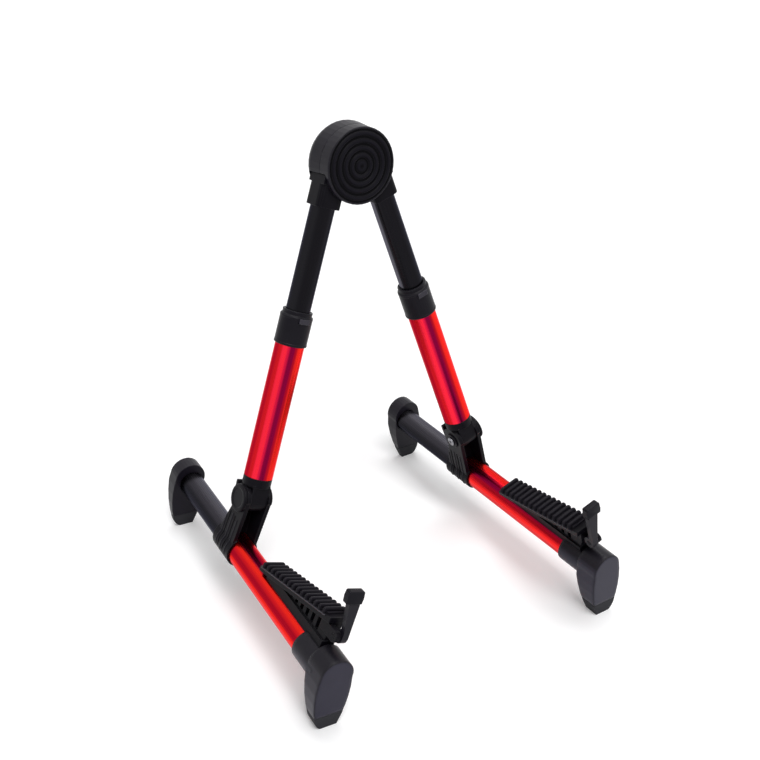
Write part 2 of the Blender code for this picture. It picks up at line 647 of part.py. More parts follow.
def build_foot(frame, side, word, face, thick, out):
    """A foot and its rubber tread, both sloped off at the back; returns the foot."""
    back = face - thick
    upper = clip(foot_outline(out), lambda at: height(at) - TREAD_LINE)
    lower = clip(foot_outline(out), lambda at: TREAD_LINE - FIT - height(at))
    upper = [(-side * x, z - HINGE_RISE) for x, z in upper]
    lower = [(-side * x, z - HINGE_RISE) for x, z in lower]
    foot = plate(word + "_foot", upper, -face, -back, "Y", BLACK_PLASTIC, FOOT_EDGE, frame)
    tread = plate(word + "_tread", lower, -face, -back, "Y", GREY_RUBBER, parent=frame)
    low = 1.5 * RAIL_HEIGHT
    run = FOOT_TAPER * (low - FOOT_TAPER_TOP) / (RAIL_HEIGHT - FOOT_TAPER_TOP)
    slope = [(back, -FOOT_TAPER_TOP), (back + run, -low), (back - 5, -low), (back - 5, -FOOT_TAPER_TOP)]
    wedge = plate("slope_cutter", beside_rail(slope), -40, 40, "X", parent=frame)
    combine(tread, [wedge], "DIFFERENCE")
    return combine(foot, [wedge], "DIFFERENCE")


def build_feet(frame, side, word):
    rail = {"parent": frame, "place": (0, 0, -HINGE_RISE), "turn": ALONG_RAIL}
    front = build_foot(frame, side, word + "_front", FOOT_FACE, FOOT_THICK, 0)
    sleeve = rod("sleeve_joiner", SLEEVE_R, FOOT_FACE - FOOT_THICK + 8, SLEEVE_START, **rail)
    bore = rod("sleeve_bore_cutter", OUTER_TUBE_R + FIT, FRONT_TUBE_END + FIT, SLEEVE_START - 5, **rail)
    combine(front, [sleeve], "UNION")
    combine(front, [bore], "DIFFERENCE")
    rear = build_foot(frame, side, word + "_rear", REAR_FOOT_FACE, REAR_FOOT_THICK, REAR_FOOT_OUT)
    socket = rod("socket_cutter", REAR_TUBE_R + FIT, REAR_FOOT_FACE + 3, REAR_TUBE_START - FIT, **rail)
    combine(rear, [socket], "DIFFERENCE")


def build_rail_tubes(frame, word):
    rail = {"parent": frame, "place": (0, 0, -HINGE_RISE), "turn": ALONG_RAIL}
    tube(word + "_rail_front_tube", OUTER_TUBE_R, TUBE_WALL, FRONT_TUBE_END, FRONT_TUBE_START, RED_TUBE,
         **rail)
    tube(word + "_rail_rear_tube", REAR_TUBE_R, TUBE_WALL, REAR_TUBE_END, REAR_TUBE_START, BLACK_TUBE,
         **rail)


# Instrument arm
def pad_top(forward):
    """Top of the ribbed pad above the rail axis, a distance forward of the hinge."""
    return PAD_START_RISE + PAD_SLOPE * (forward - PAD_START)


def band_top(forward):
    return pad_top(forward) - PAD_RIB_HIGH - PAD_BASE - FIT


def beside_rail(points):
    """Turns (forward, rise) points into the rail frame's (y, z)."""
    return [(-forward, rise - HINGE_RISE) for forward, rise in points]


def build_arm(frame, side, word):
    """Sloping band on a windowed web, a lower chord that rides the tube and a lug for the stop's pin."""
    inward = -side
    end_top = band_top(ARM_END)
    run_in = ARM_START + BAND_RUN_IN
    seat = OUTER_TUBE_R + FIT
    band = [(ARM_START, band_top(ARM_START)), (ARM_END, end_top), (ARM_END, end_top - BAND),
            (run_in, band_top(run_in) - BAND), (ARM_START, seat + 0.8)]
    arm = plate(word + "_arm", beside_rail(band), -ARM_HALF, ARM_HALF, "X", BLACK_PLASTIC, parent=frame)
    web = [(ARM_START + 4, seat - 6), (ARM_START + 4, band_top(ARM_START + 4) - 2),
           (ARM_END - 1, end_top - 2), (ARM_END - 1, HOOK_PIN_RISE - LUG_R + 1),
           (CHORD_END - 1, CHORD_TOP - 2), (CHORD_END - 1, seat - 6)]
    web_joiner = plate("web_joiner", beside_rail(web), -WEB_HALF, WEB_HALF, "X", parent=frame)
    chord = [(CHORD_START, seat - 5), (CHORD_START, seat + 0.7), (CHORD_START + 20, CHORD_TOP),
             (CHORD_END, CHORD_TOP), (CHORD_END, seat - 5)]
    chord_joiner = plate("chord_joiner", beside_rail(chord), -CHORD_HALF, CHORD_HALF, "X", parent=frame)
    lug = arc((HOOK_PIN_FORWARD, HOOK_PIN_RISE), LUG_R, -90, 90, 10)
    lug += [(ARM_END - 12, HOOK_PIN_RISE + LUG_R), (ARM_END - 12, HOOK_PIN_RISE - LUG_R)]
    sides = sorted((-inward * (HOOK_OUTER + FIT), -inward * (HOOK_OUTER + FIT + LUG_WIDE)))
    lug_joiner = plate("lug_joiner", beside_rail(lug), sides[0], sides[1], "X", parent=frame)
    combine(arm, [web_joiner, chord_joiner, lug_joiner], "UNION")
    rail = {"parent": frame, "place": (0, 0, -HINGE_RISE), "turn": ALONG_RAIL}
    tube_seat = rod("tube_seat_cutter", seat, ARM_END + 20, ARM_START - 20, **rail)
    sleeve_seat = rod("sleeve_seat_cutter", SLEEVE_R + FIT, ARM_END + 20, SLEEVE_START - FIT, **rail)
    pin_hole = rod("hook_hole_cutter", HOOK_PIN_R + FIT, 30, -30, parent=frame, turn=ALONG_X,
                   steps=SMALL_STEPS, place=(0, -HOOK_PIN_FORWARD, HOOK_PIN_RISE - HINGE_RISE))
    combine(arm, [tube_seat, sleeve_seat, pin_hole] + web_windows(frame), "DIFFERENCE")


def web_windows(frame):
    """Cutters for the upright slots between the arm's band and its chord."""
    cutters = []
    for index in range(WINDOWS):
        start = FIRST_WINDOW + index * WINDOW_PITCH
        end = start + WINDOW_WIDE
        low = CHORD_TOP + WINDOW_RIM
        outline = [(start, low), (end, low), (end, band_top(end) - BAND - WINDOW_RIM),
                   (start, band_top(start) - BAND - WINDOW_RIM)]
        if outline[3][1] - low > WINDOW_RIM and end < ARM_END - 2 * WINDOW_RIM:
            cutters.append(plate("window_cutter", beside_rail(outline), -WEB_HALF - 2, WEB_HALF + 2, "X",
                                 parent=frame))
    return cutters


def build_arm_pad(frame, word):
    """Rubber pad with cross ribs, lying on the arm's band."""
    gap = PAD_RIB_GAP / 2
    points = []
    for index in range(PAD_RIBS):
        start = PAD_START + index * PAD_RIB_PITCH
        end = start + PAD_RIB_PITCH
        for forward, low in ((start + gap, PAD_RIB_HIGH), (start + gap + PAD_RIB_LEAN, 0),
                             (end - gap - PAD_RIB_LEAN, 0), (end - gap, PAD_RIB_HIGH)):
            points.append((forward, pad_top(forward) - low))
    last = PAD_START + PAD_RIBS * PAD_RIB_PITCH
    points += [(last, pad_top(last) - PAD_RIB_HIGH), (last, band_top(last) + FIT),
               (PAD_START, band_top(PAD_START) + FIT), (PAD_START, pad_top(PAD_START) - PAD_RIB_HIGH)]
    plate(word + "_arm_pad", beside_rail(points), -PAD_HALF, PAD_HALF, "X", RUBBER, parent=frame)


# Stop
def build_hook(frame, side, word):
    """Upright stop that turns on a pin at the arm's front end, wider towards its rubber tip."""
    inward = -side
    leaning = {"parent": frame, "turn": (-math.radians(HOOK_LEAN), 0, 0)}
    front = -HOOK_FRONT
    back = front + HOOK_DEPTH
    middle = (front + back) / 2
    sides = sorted((inward * HOOK_INNER, -inward * HOOK_OUTER))
    tongue = (HOOK_INNER - HOOK_OUTER_TOP) / 2
    shaft = [(HOOK_INNER, 0), (HOOK_INNER, TIP_LOW - FIT), (-HOOK_OUTER_TOP, TIP_LOW - FIT),
             (-HOOK_OUTER, HOOK_BOSS_R), (-HOOK_OUTER, 0)]
    shaft = [(inward * x, z) for x, z in shaft]
    hook = plate(word + "_hook", shaft, front, back, "Y", BLACK_PLASTIC, **leaning)
    boss = rod("boss_joiner", HOOK_BOSS_R, sides[1], sides[0], turn=ALONG_X, parent=frame, steps=28)
    plug = block("tongue_joiner", (inward * tongue - TONGUE_HALF, middle - TONGUE_DEPTH / 2, TIP_LOW - 3),
                 (inward * tongue + TONGUE_HALF, middle + TONGUE_DEPTH / 2, TIP_LOW + TONGUE_HIGH),
                 **leaning)
    hole = rod("hook_bore_cutter", HOOK_PIN_R + FIT, 30, -30, turn=ALONG_X, parent=frame, steps=SMALL_STEPS)
    combine(hook, [boss, plug], "UNION")
    combine(hook, [hole], "DIFFERENCE")
    cap = [(TIP_INNER, TIP_LOW), (TIP_INNER - 0.5, TIP_HIGH), (-TIP_OUTER, TIP_HIGH), (-TIP_OUTER, TIP_LOW)]
    cap = [(inward * x, z) for x, z in cap]
    tip = plate(word + "_hook_tip", cap, front - TIP_WALL, back + TIP_WALL, "Y", RUBBER, TIP_EDGE, **leaning)
    reach = TONGUE_DEPTH / 2 + FIT
    pocket = block("tip_cutter", (inward * tongue - TONGUE_HALF - FIT, middle - reach, TIP_LOW - 3),
                   (inward * tongue + TONGUE_HALF + FIT, middle + reach, TIP_LOW + TONGUE_HIGH + FIT),
                   **leaning)
    combine(tip, [pocket], "DIFFERENCE")


def build_hook_pin(frame, side, word):
    inward = -side
    ends = sorted((-inward * (HOOK_OUTER + FIT + LUG_WIDE), inward * HOOK_INNER))
    rod(word + "_hook_pin", HOOK_PIN_R, ends[1], ends[0], BLACK_PLASTIC, parent=frame, turn=ALONG_X,
        place=(0, -HOOK_PIN_FORWARD, HOOK_PIN_RISE - HINGE_RISE), steps=SMALL_STEPS)


def middle_shift():
    """How far the hub stands behind the middle of the feet, which is the stand's origin."""
    leg = Euler((-math.radians(LEAN), 0, 0)).to_matrix() @ Euler((0, math.radians(SPREAD), 0)).to_matrix()
    rail = leg @ Euler((RAIL_TURN, 0, 0)).to_matrix()
    hinge = (leg @ Vector((0, 0, -LEG_LENGTH))).y
    back = REAR_FOOT_THICK - REAR_FOOT_FACE
    front = min((rail @ Vector((x, -FOOT_FACE, z - HINGE_RISE))).y for x, z in foot_outline(0))
    upper = clip(foot_outline(REAR_FOOT_OUT), lambda at: at[1] + FOOT_TAPER_TOP)
    rear = max((rail @ Vector((x, back, z - HINGE_RISE))).y for x, z in upper)
    return -hinge - (front + rear) / 2


MIDDLE_SHIFT = middle_shift()


def build_stand():
    hub = empty("hub_frame", place=(0, MIDDLE_SHIFT, HUB_HEIGHT), turn=(-math.radians(LEAN), 0, 0))
    build_hub(hub)
    for side, word in ((-1, "left"), (1, "right")):
        leg = empty(word + "_leg_pivot", hub, (side * PIVOT_OFFSET, 0, 0),
                    (0, -side * math.radians(SPREAD), 0))
        build_upper_leg(leg, side, word)
        slide = empty(word + "_leg_slide", leg)
        build_lower_leg(slide, side, word)
        build_button(empty(word + "_button_slide", slide), word)
        rail = empty(word + "_rail_hinge", slide, (0, 0, -LEG_LENGTH), (RAIL_TURN, 0, 0))
        build_bracket(rail, word)
        build_hinge_pin(rail, side, word)
        build_rail_tubes(rail, word)
        build_feet(rail, side, word)
        build_arm(rail, side, word)
        build_arm_pad(rail, word)
        build_hook_pin(rail, side, word)
        hinge = empty(word + "_hook_hinge", rail, (0, -HOOK_PIN_FORWARD, HOOK_PIN_RISE - HINGE_RISE))
        build_hook(hinge, side, word)


build_stand()
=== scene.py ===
"""Looks of the folding guitar stand: finishes on every part, ribbed rubber, soft-edged trims and a studio.

Sizes are in millimetres, as on the drawing of the stand, and the helpers write them in metres. A leg's
frame has its pivot at the origin and -Z down the leg; a rail's frame has the rail hinge at the origin,
-Y forward along the rail and X across it.
"""
import json
import math

import bmesh
import bpy
from mathutils import Matrix, Vector


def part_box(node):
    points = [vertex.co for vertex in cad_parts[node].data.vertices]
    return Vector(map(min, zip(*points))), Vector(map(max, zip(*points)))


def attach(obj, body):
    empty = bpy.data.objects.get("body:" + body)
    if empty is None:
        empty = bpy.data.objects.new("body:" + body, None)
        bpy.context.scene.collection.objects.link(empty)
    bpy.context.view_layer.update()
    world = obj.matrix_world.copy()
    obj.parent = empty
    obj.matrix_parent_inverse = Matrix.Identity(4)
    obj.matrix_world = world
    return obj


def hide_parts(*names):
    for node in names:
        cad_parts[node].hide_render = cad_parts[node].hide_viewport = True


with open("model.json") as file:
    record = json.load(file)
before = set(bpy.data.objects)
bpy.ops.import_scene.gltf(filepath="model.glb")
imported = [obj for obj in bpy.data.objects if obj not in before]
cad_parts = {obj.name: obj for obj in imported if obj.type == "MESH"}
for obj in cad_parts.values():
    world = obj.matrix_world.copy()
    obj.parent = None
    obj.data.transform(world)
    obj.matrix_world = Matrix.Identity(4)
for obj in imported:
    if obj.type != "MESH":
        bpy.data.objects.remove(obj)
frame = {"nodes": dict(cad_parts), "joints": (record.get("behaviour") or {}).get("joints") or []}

bl_info = {
    "name": "Guitar Stand Looks",
    "version": (1, 1, 0),
    "blender": (4, 5, 0),
    "location": "View3D > Sidebar > Stand",
    "description": "Finishes, trims and studio for a folding guitar stand",
    "category": "Object",
}

MM = 0.001
SIDES = ("left", "right")

# Places on the stand that the pieces share with its solids
HINGE_RISE = 47.6        # rail hinge above the rail's axis
HUB_FACE = 15.2          # front of the hub's cover, forward of the leg plane
COLLAR_TOP = 120.5       # along the leg from its pivot
COLLAR_END = 150.0
COLLAR_R = 13.9
KNOB_INNER = 12.3        # inner face of the hinge knob, outward of the rail's middle
PAD_START = 57.6         # ribbed pad, forward of the hinge
PAD_START_RISE = 23.0    # its ribs' tops above the rail's axis
PAD_SLOPE = 0.245
PAD_RIBS = 15
PAD_PITCH = 6.5
PAD_HALF = 10.6
PIN_FORWARD = 169.9
PIN_RISE = 31.8
FIRST_RING = 8.8         # middle of the innermost ring of the hub's pad
CHEEK_OUT = 12.0         # outer face of a hinge cheek, from the rail's middle
SADDLE_R = 14.3

FLOOR_LIFT = 0.20        # how far the floor is lifted to white where it is seen


def joint(name):
    return next(entry for entry in frame["joints"] if entry["name"] == name)


def columns(x, y, z, place):
    turn = Matrix((x, y, z)).transposed().to_4x4()
    return Matrix.Translation(place) @ turn


def leg_frame(side):
    """Frame of a leg, or of the hub's plane turned to that leg."""
    z = Vector(joint(side + "_leg_slide")["axis"]).normalized()
    y = Vector(joint(side + "_button_press")["axis"]).normalized()
    return columns(y.cross(z), y, z, Vector(joint(side + "_leg_spread")["pos_m"]))


def rail_frame(side):
    """Frame of a floor rail, whose Y axis is level."""
    fold = joint(side + "_rail_fold")
    x = -Vector(fold["axis"]).normalized()
    y = Vector((-x.y, x.x, 0)).normalized()
    return columns(x, y, x.cross(y), Vector(fold["pos_m"]))


def stop_frame(side):
    rail = rail_frame(side)
    place = rail @ (Vector((0, -PIN_FORWARD, PIN_RISE - HINGE_RISE)) * MM)
    return Matrix.Translation(place) @ rail.to_3x3().to_4x4()


def hub_frame():
    """Frame of the hub: origin between the leg pivots, -Y out of its face."""
    pivots = [Vector(joint(side + "_leg_spread")["pos_m"]) for side in SIDES]
    y = Vector(joint("left_button_press")["axis"]).normalized()
    x = (pivots[1] - pivots[0]).normalized()
    return columns(x, y, x.cross(y), (pivots[0] + pivots[1]) / 2)


def inward(side):
    return 1 if side == "left" else -1


def camera_place():
    return hub_frame().to_translation() + Vector((-538.2, -823.0, 376.8)) * MM


class StandFinishProperties(bpy.types.PropertyGroup):
    """Colours and finishes of the plastic, the tubes and the rubber."""

    plastic_colour: bpy.props.FloatVectorProperty(
        name="Plastic Colour", description="Colour of the moulded parts", subtype="COLOR",
        default=(0.0055, 0.0047, 0.0078), min=0, max=1)
    plastic_roughness: bpy.props.FloatProperty(
        name="Plastic Roughness", description="Roughness of the moulded parts", default=0.36, min=0, max=1,
        subtype="FACTOR")
    plastic_grain: bpy.props.FloatProperty(
        name="Plastic Grain", description="Strength of the moulded grain", default=0.16, min=0, max=1,
        subtype="FACTOR")
    # Pales the moulded edges: partly rubbed wear, partly a painted edge highlight
    edge_wear_and_sheen: bpy.props.FloatProperty(
        name="Edge Wear And Sheen", description="How much the moulded edges are rubbed paler", default=0.5, min=0, max=1,
        subtype="FACTOR")
    # Strength of the painted highlight and reflection bands on all the tubes
    reflection_band_strength: bpy.props.FloatProperty(
        name="Reflection Band Strength", description="Strength of the lengthwise bands in the red anodising", default=1.0,
        min=0, max=1, subtype="FACTOR")
    streaks: bpy.props.FloatProperty(
        name="Streaks", description="Strength of the fine lengthwise streaks on the tubes", default=0.35, min=0,
        max=1, subtype="FACTOR")
    dust: bpy.props.FloatProperty(
        name="Dust", description="Pale dust on upward faces", default=0.012, min=0, max=1, subtype="FACTOR")


class StandRubberProperties(bpy.types.PropertyGroup):
    """Sizes of the ribbed rubber."""

    rib_width: bpy.props.FloatProperty(
        name="Rib Width", description="Width of one rib of a rest", default=2.6 * MM, min=0.5 * MM, max=5 * MM,
        unit="LENGTH")
    rib_drop: bpy.props.FloatProperty(
        name="Rib Drop", description="How far the ribs reach down the sides of a rest", default=4.6 * MM,
        min=1 * MM, max=8 * MM, unit="LENGTH")
    ring_count: bpy.props.IntProperty(
        name="Rings", description="Raised rings on the hub's pad", default=4, min=1, max=8)
    ring_pitch: bpy.props.FloatProperty(
        name="Ring Pitch", description="Distance from ring to ring", default=5.8 * MM, min=2 * MM, max=9 * MM,
        unit="LENGTH")


class StandStudioProperties(bpy.types.PropertyGroup):
    """Floor, lamps and background."""

    floor_size: bpy.props.FloatProperty(
        name="Floor Size", description="Side of the floor", default=12.0, min=1, max=100, unit="LENGTH")
    key_strength: bpy.props.FloatProperty(
        name="Key Strength", description="Strength of the main lamp", default=1.8, min=0, max=20)
    top_strength: bpy.props.FloatProperty(
        name="Top Strength", description="Strength of the lamp overhead", default=1.25, min=0, max=20)
    key_softness: bpy.props.FloatProperty(
        name="Key Softness", description="Width of the main lamp as seen from the stand",
        default=math.radians(32), min=0, max=math.pi, subtype="ANGLE")
    fill_strength: bpy.props.FloatProperty(
        name="Fill Strength", description="Strength of the fill lamp", default=0.4, min=0, max=20)
    sky: bpy.props.FloatProperty(
        name="Sky", description="Strength of the light from all round", default=0.12, min=0, max=2)


# Shader node groups
def new_group(name, inputs, outputs):
    """An empty shader group with named sockets; inputs are (name, type, default)."""
    tree = bpy.data.node_groups.new(name, "ShaderNodeTree")
    for label, kind, value in inputs:
        socket = tree.interface.new_socket(label, in_out="INPUT", socket_type="NodeSocket" + kind)
        if value is not None:
            socket.default_value = value
    for label, kind in outputs:
        tree.interface.new_socket(label, in_out="OUTPUT", socket_type="NodeSocket" + kind)
    return tree, tree.nodes.new("NodeGroupInput"), tree.nodes.new("NodeGroupOutput")


def maths(tree, operation, first, second=None, clamp=False):
    """A maths node whose inputs are sockets or numbers; gives its output."""
    node = tree.nodes.new("ShaderNodeMath")
    node.operation = operation
    node.use_clamp = clamp
    for index, value in enumerate((first, second)):
        if isinstance(value, (int, float)):
            node.inputs[index].default_value = value
        elif value is not None:
            tree.links.new(value, node.inputs[index])
    return node.outputs[0]


def blend_colour(tree, factor, first, second, kind="MIX"):
    node = tree.nodes.new("ShaderNodeMix")
    node.data_type = "RGBA"
    node.blend_type = kind
    for index, value in ((0, factor), (6, first), (7, second)):
        if isinstance(value, (int, float, tuple)):
            node.inputs[index].default_value = value
        else:
            tree.links.new(value, node.inputs[index])
    return node.outputs[2]


def noise(tree, vector, scale, detail=2.0):
    node = tree.nodes.new("ShaderNodeTexNoise")
    node.inputs["Detail"].default_value = detail
    tree.links.new(vector, node.inputs["Vector"])
    if isinstance(scale, (int, float)):
        node.inputs["Scale"].default_value = scale
    else:
        tree.links.new(scale, node.inputs["Scale"])
    return node.outputs[0]


def bump(tree, strength, distance, height):
    node = tree.nodes.new("ShaderNodeBump")
    node.inputs["Distance"].default_value = distance
    tree.links.new(strength, node.inputs["Strength"])
    tree.links.new(height, node.inputs["Height"])
    return node.outputs[0]


def dust_group():
    """Pale dust that lies on upward faces in patches."""
    if "Settled Dust" in bpy.data.node_groups:
        return bpy.data.node_groups["Settled Dust"]
    tree, entry, leave = new_group("Settled Dust", (("Vector", "Vector", None), ("Colour", "Color", None),
                                                    ("Amount", "Float", 0.02)), (("Colour", "Color"),))
    face = tree.nodes.new("ShaderNodeNewGeometry")
    split = tree.nodes.new("ShaderNodeSeparateXYZ")
    tree.links.new(face.outputs["Normal"], split.inputs[0])
    patches = maths(tree, "MULTIPLY", noise(tree, entry.outputs["Vector"], 60.0, 4.0), 2.0)
    up = maths(tree, "MULTIPLY", split.outputs["Z"], patches, clamp=True)
    share = maths(tree, "MULTIPLY", up, entry.outputs["Amount"], clamp=True)
    colour = blend_colour(tree, share, entry.outputs["Colour"], (0.42, 0.41, 0.39, 1))
    tree.links.new(colour, leave.inputs["Colour"])
    return tree


def moulded_group():
    """Moulded plastic or rubber: grain, faint flow marks, pale edges that are partly rubbed wear and partly a painted
    edge highlight, and dust.
    """
    if "Moulded Surface" in bpy.data.node_groups:
        return bpy.data.node_groups["Moulded Surface"]
    inputs = (("Vector", "Vector", None), ("Colour", "Color", None), ("Roughness", "Float", 0.5),
              ("Grain Scale", "Float", 1500.0), ("Grain Strength", "Float", 0.15), ("Wear And Sheen", "Float", 0.5),
              ("Dust", "Float", 0.02), ("Edge Radius", "Float", 0.0007))
    outputs = (("Colour", "Color"), ("Roughness", "Float"), ("Normal", "Vector"))
    tree, entry, leave = new_group("Moulded Surface", inputs, outputs)
    place = entry.outputs["Vector"]
    grain = noise(tree, place, entry.outputs["Grain Scale"], 3.0)
    flow = noise(tree, place, 45.0, 3.0)
    rounded = tree.nodes.new("ShaderNodeBevel")
    rounded.samples = 4
    tree.links.new(entry.outputs["Edge Radius"], rounded.inputs["Radius"])
    face = tree.nodes.new("ShaderNodeNewGeometry")
    across = tree.nodes.new("ShaderNodeVectorMath")
    across.operation = "DOT_PRODUCT"
    tree.links.new(rounded.outputs[0], across.inputs[0])
    tree.links.new(face.outputs["Normal"], across.inputs[1])
    # Painted edge highlight: rounded edges are paled, partly as rubbed wear and partly as light glinting along them
    edge = maths(tree, "MULTIPLY", maths(tree, "SUBTRACT", 1.0, across.outputs["Value"]), 6.0, clamp=True)
    rubbed_and_sheen = maths(tree, "MULTIPLY", edge, maths(tree, "MULTIPLY", flow, entry.outputs["Wear And Sheen"]), clamp=True)
    darker = blend_colour(tree, 1.0, entry.outputs["Colour"], (0.62, 0.62, 0.64, 1), "MULTIPLY")
    mottled = blend_colour(tree, flow, darker, entry.outputs["Colour"])
    worn_and_sheen = blend_colour(tree, rubbed_and_sheen, mottled, (0.11, 0.11, 0.12, 1))
    dusty = tree.nodes.new("ShaderNodeGroup")
    dusty.node_tree = dust_group()
    tree.links.new(place, dusty.inputs["Vector"])
    tree.links.new(worn_and_sheen, dusty.inputs["Colour"])
    tree.links.new(entry.outputs["Dust"], dusty.inputs["Amount"])
    tree.links.new(dusty.outputs[0], leave.inputs["Colour"])
    shift = maths(tree, "MULTIPLY", maths(tree, "SUBTRACT", flow, 0.5), 0.22)
    tree.links.new(maths(tree, "ADD", entry.outputs["Roughness"], shift, clamp=True), leave.inputs["Roughness"])
    raised = tree.nodes.new("ShaderNodeBump")
    raised.inputs["Distance"].default_value = 0.12 * MM
    tree.links.new(entry.outputs["Grain Strength"], raised.inputs["Strength"])
    tree.links.new(grain, raised.inputs["Height"])
    tree.links.new(rounded.outputs[0], raised.inputs["Normal"])
    tree.links.new(raised.outputs[0], leave.inputs["Normal"])
    return tree


def upright_reflection_group():
    """Painted reflection and shade: a paler colour on upright faces, and a darker one on upward faces and along
    rounded edges.
    """
    if "Upright Colour" in bpy.data.node_groups:
        return bpy.data.node_groups["Upright Colour"]
    tree, entry, leave = new_group("Upright Colour", (("Upright", "Color", None), ("Upward Painted Shade", "Color", None),
                                                      ("Edge Radius", "Float", 0.002)), (("Colour", "Color"),))
    rounded = tree.nodes.new("ShaderNodeBevel")
    rounded.samples = 4
    tree.links.new(entry.outputs["Edge Radius"], rounded.inputs["Radius"])
    face = tree.nodes.new("ShaderNodeNewGeometry")
    split = tree.nodes.new("ShaderNodeSeparateXYZ")
    tree.links.new(rounded.outputs[0], split.inputs[0])
    along = tree.nodes.new("ShaderNodeVectorMath")
    along.operation = "DOT_PRODUCT"
    tree.links.new(rounded.outputs[0], along.inputs[0])
    tree.links.new(face.outputs["Normal"], along.inputs[1])
    edge = maths(tree, "MULTIPLY", maths(tree, "SUBTRACT", 1.0, along.outputs["Value"]), 7.0, clamp=True)
    up = maths(tree, "MULTIPLY", split.outputs["Z"], 2.2, clamp=True)
    share = maths(tree, "MAXIMUM", edge, up)
    colour = blend_colour(tree, share, entry.outputs["Upright"], entry.outputs["Upward Painted Shade"])
    tree.links.new(colour, leave.inputs["Colour"])
    return tree


def ring_highlight_group():
    """Painted highlights on rings round the Z axis, one at the first radius and one at every pitch from it, with
    painted shade between them.
    """
    if "Painted Ring Highlights" in bpy.data.node_groups:
        return bpy.data.node_groups["Painted Ring Highlights"]
    tree, entry, leave = new_group("Painted Ring Highlights", (("Vector", "Vector", None), ("First Radius", "Float", 0.0088),
                                                    ("Pitch", "Float", 0.0058)), (("Colour", "Color"),))
    flat = tree.nodes.new("ShaderNodeVectorMath")
    flat.operation = "MULTIPLY"
    flat.inputs[1].default_value = (1, 1, 0)
    tree.links.new(entry.outputs["Vector"], flat.inputs[0])
    length = tree.nodes.new("ShaderNodeVectorMath")
    length.operation = "LENGTH"
    tree.links.new(flat.outputs[0], length.inputs[0])
    past = maths(tree, "SUBTRACT", length.outputs["Value"], entry.outputs["First Radius"])
    turns = maths(tree, "MULTIPLY", maths(tree, "DIVIDE", past, entry.outputs["Pitch"]), math.tau)
    wave = maths(tree, "MULTIPLY", maths(tree, "ADD", maths(tree, "COSINE", turns), 1.0), 0.5)
    # Dark hollows are painted shade and pale ring tops painted highlights
    colour = blend_colour(tree, wave, (0.0012, 0.0010, 0.0020, 1), (0.0110, 0.0100, 0.0150, 1))
    tree.links.new(colour, leave.inputs["Colour"])
    return tree


# Shades of the anodising, and of the painted highlights and painted reflections laid over it on the tubes
TUBE_SHADES_AND_PAINTED_REFLECTIONS = {
    "pale": (0.94, 0.070, 0.070), "rose": (0.97, 0.022, 0.050), "bright": (0.96, 0.026, 0.022),
    "warm": (0.84, 0.022, 0.013), "red": (0.62, 0.010, 0.016), "crimson": (0.66, 0.009, 0.050),
    "deep": (0.38, 0.004, 0.016), "wine": (0.22, 0.002, 0.036), "dark wine": (0.13, 0.002, 0.024), "black": (0.0115, 0.011, 0.013), "soft black": (0.018, 0.0175, 0.020),
    "grey": (0.027, 0.027, 0.030), "steel": (0.042, 0.040, 0.047), "slate": (0.105, 0.102, 0.115),
}

# Painted highlight and reflection bands round a tube from -180 to 180 degrees, where 0 faces the camera and the angle
# grows to the right
RED_LEG_REFLECTION_BANDS = ((-180, "red"), (-140, "wine"), (-106, "warm"), (-58, "deep"), (-31, "red"), (-20, "rose"),
                 (-9, "rose"), (0, "crimson"), (10, "wine"), (21, "wine"), (31, "deep"), (43, "warm"),
                 (58, "bright"), (112, "red"), (146, "wine"))
LEFT_RAIL_REFLECTION_BANDS = ((-180, "red"), (-130, "deep"), (-95, "warm"), (-66, "pale"), (-50, "warm"), (-36, "deep"),
                   (-25, "deep"), (-12, "red"), (2, "warm"), (11, "warm"), (19, "wine"), (33, "dark wine"),
                   (52, "deep"), (74, "warm"), (120, "deep"))
RIGHT_RAIL_REFLECTION_BANDS = ((-180, "red"), (-130, "deep"), (-90, "pale"), (-60, "pale"), (-42, "bright"), (-30, "red"),
                    (-15, "deep"), (0, "wine"), (12, "wine"), (32, "red"), (50, "warm"), (78, "deep"),
                    (120, "red"))
LEFT_BLACK_LEG_REFLECTION_BANDS = ((-180, "black"), (-110, "soft black"), (-30, "soft black"), (0, "black"), (30, "black"),
                        (58, "soft black"), (90, "grey"), (140, "black"))
RIGHT_BLACK_LEG_REFLECTION_BANDS = ((-180, "black"), (-110, "grey"), (-72, "slate"), (-54, "slate"), (-40, "soft black"),
                         (-10, "black"), (30, "black"), (58, "soft black"), (90, "grey"), (140, "black"))
BLACK_RAIL_REFLECTION_BANDS = ((-180, "black"), (-90, "steel"), (-55, "soft black"), (-30, "soft black"), (0, "steel"),
                    (56, "slate"), (90, "slate"), (140, "grey"))


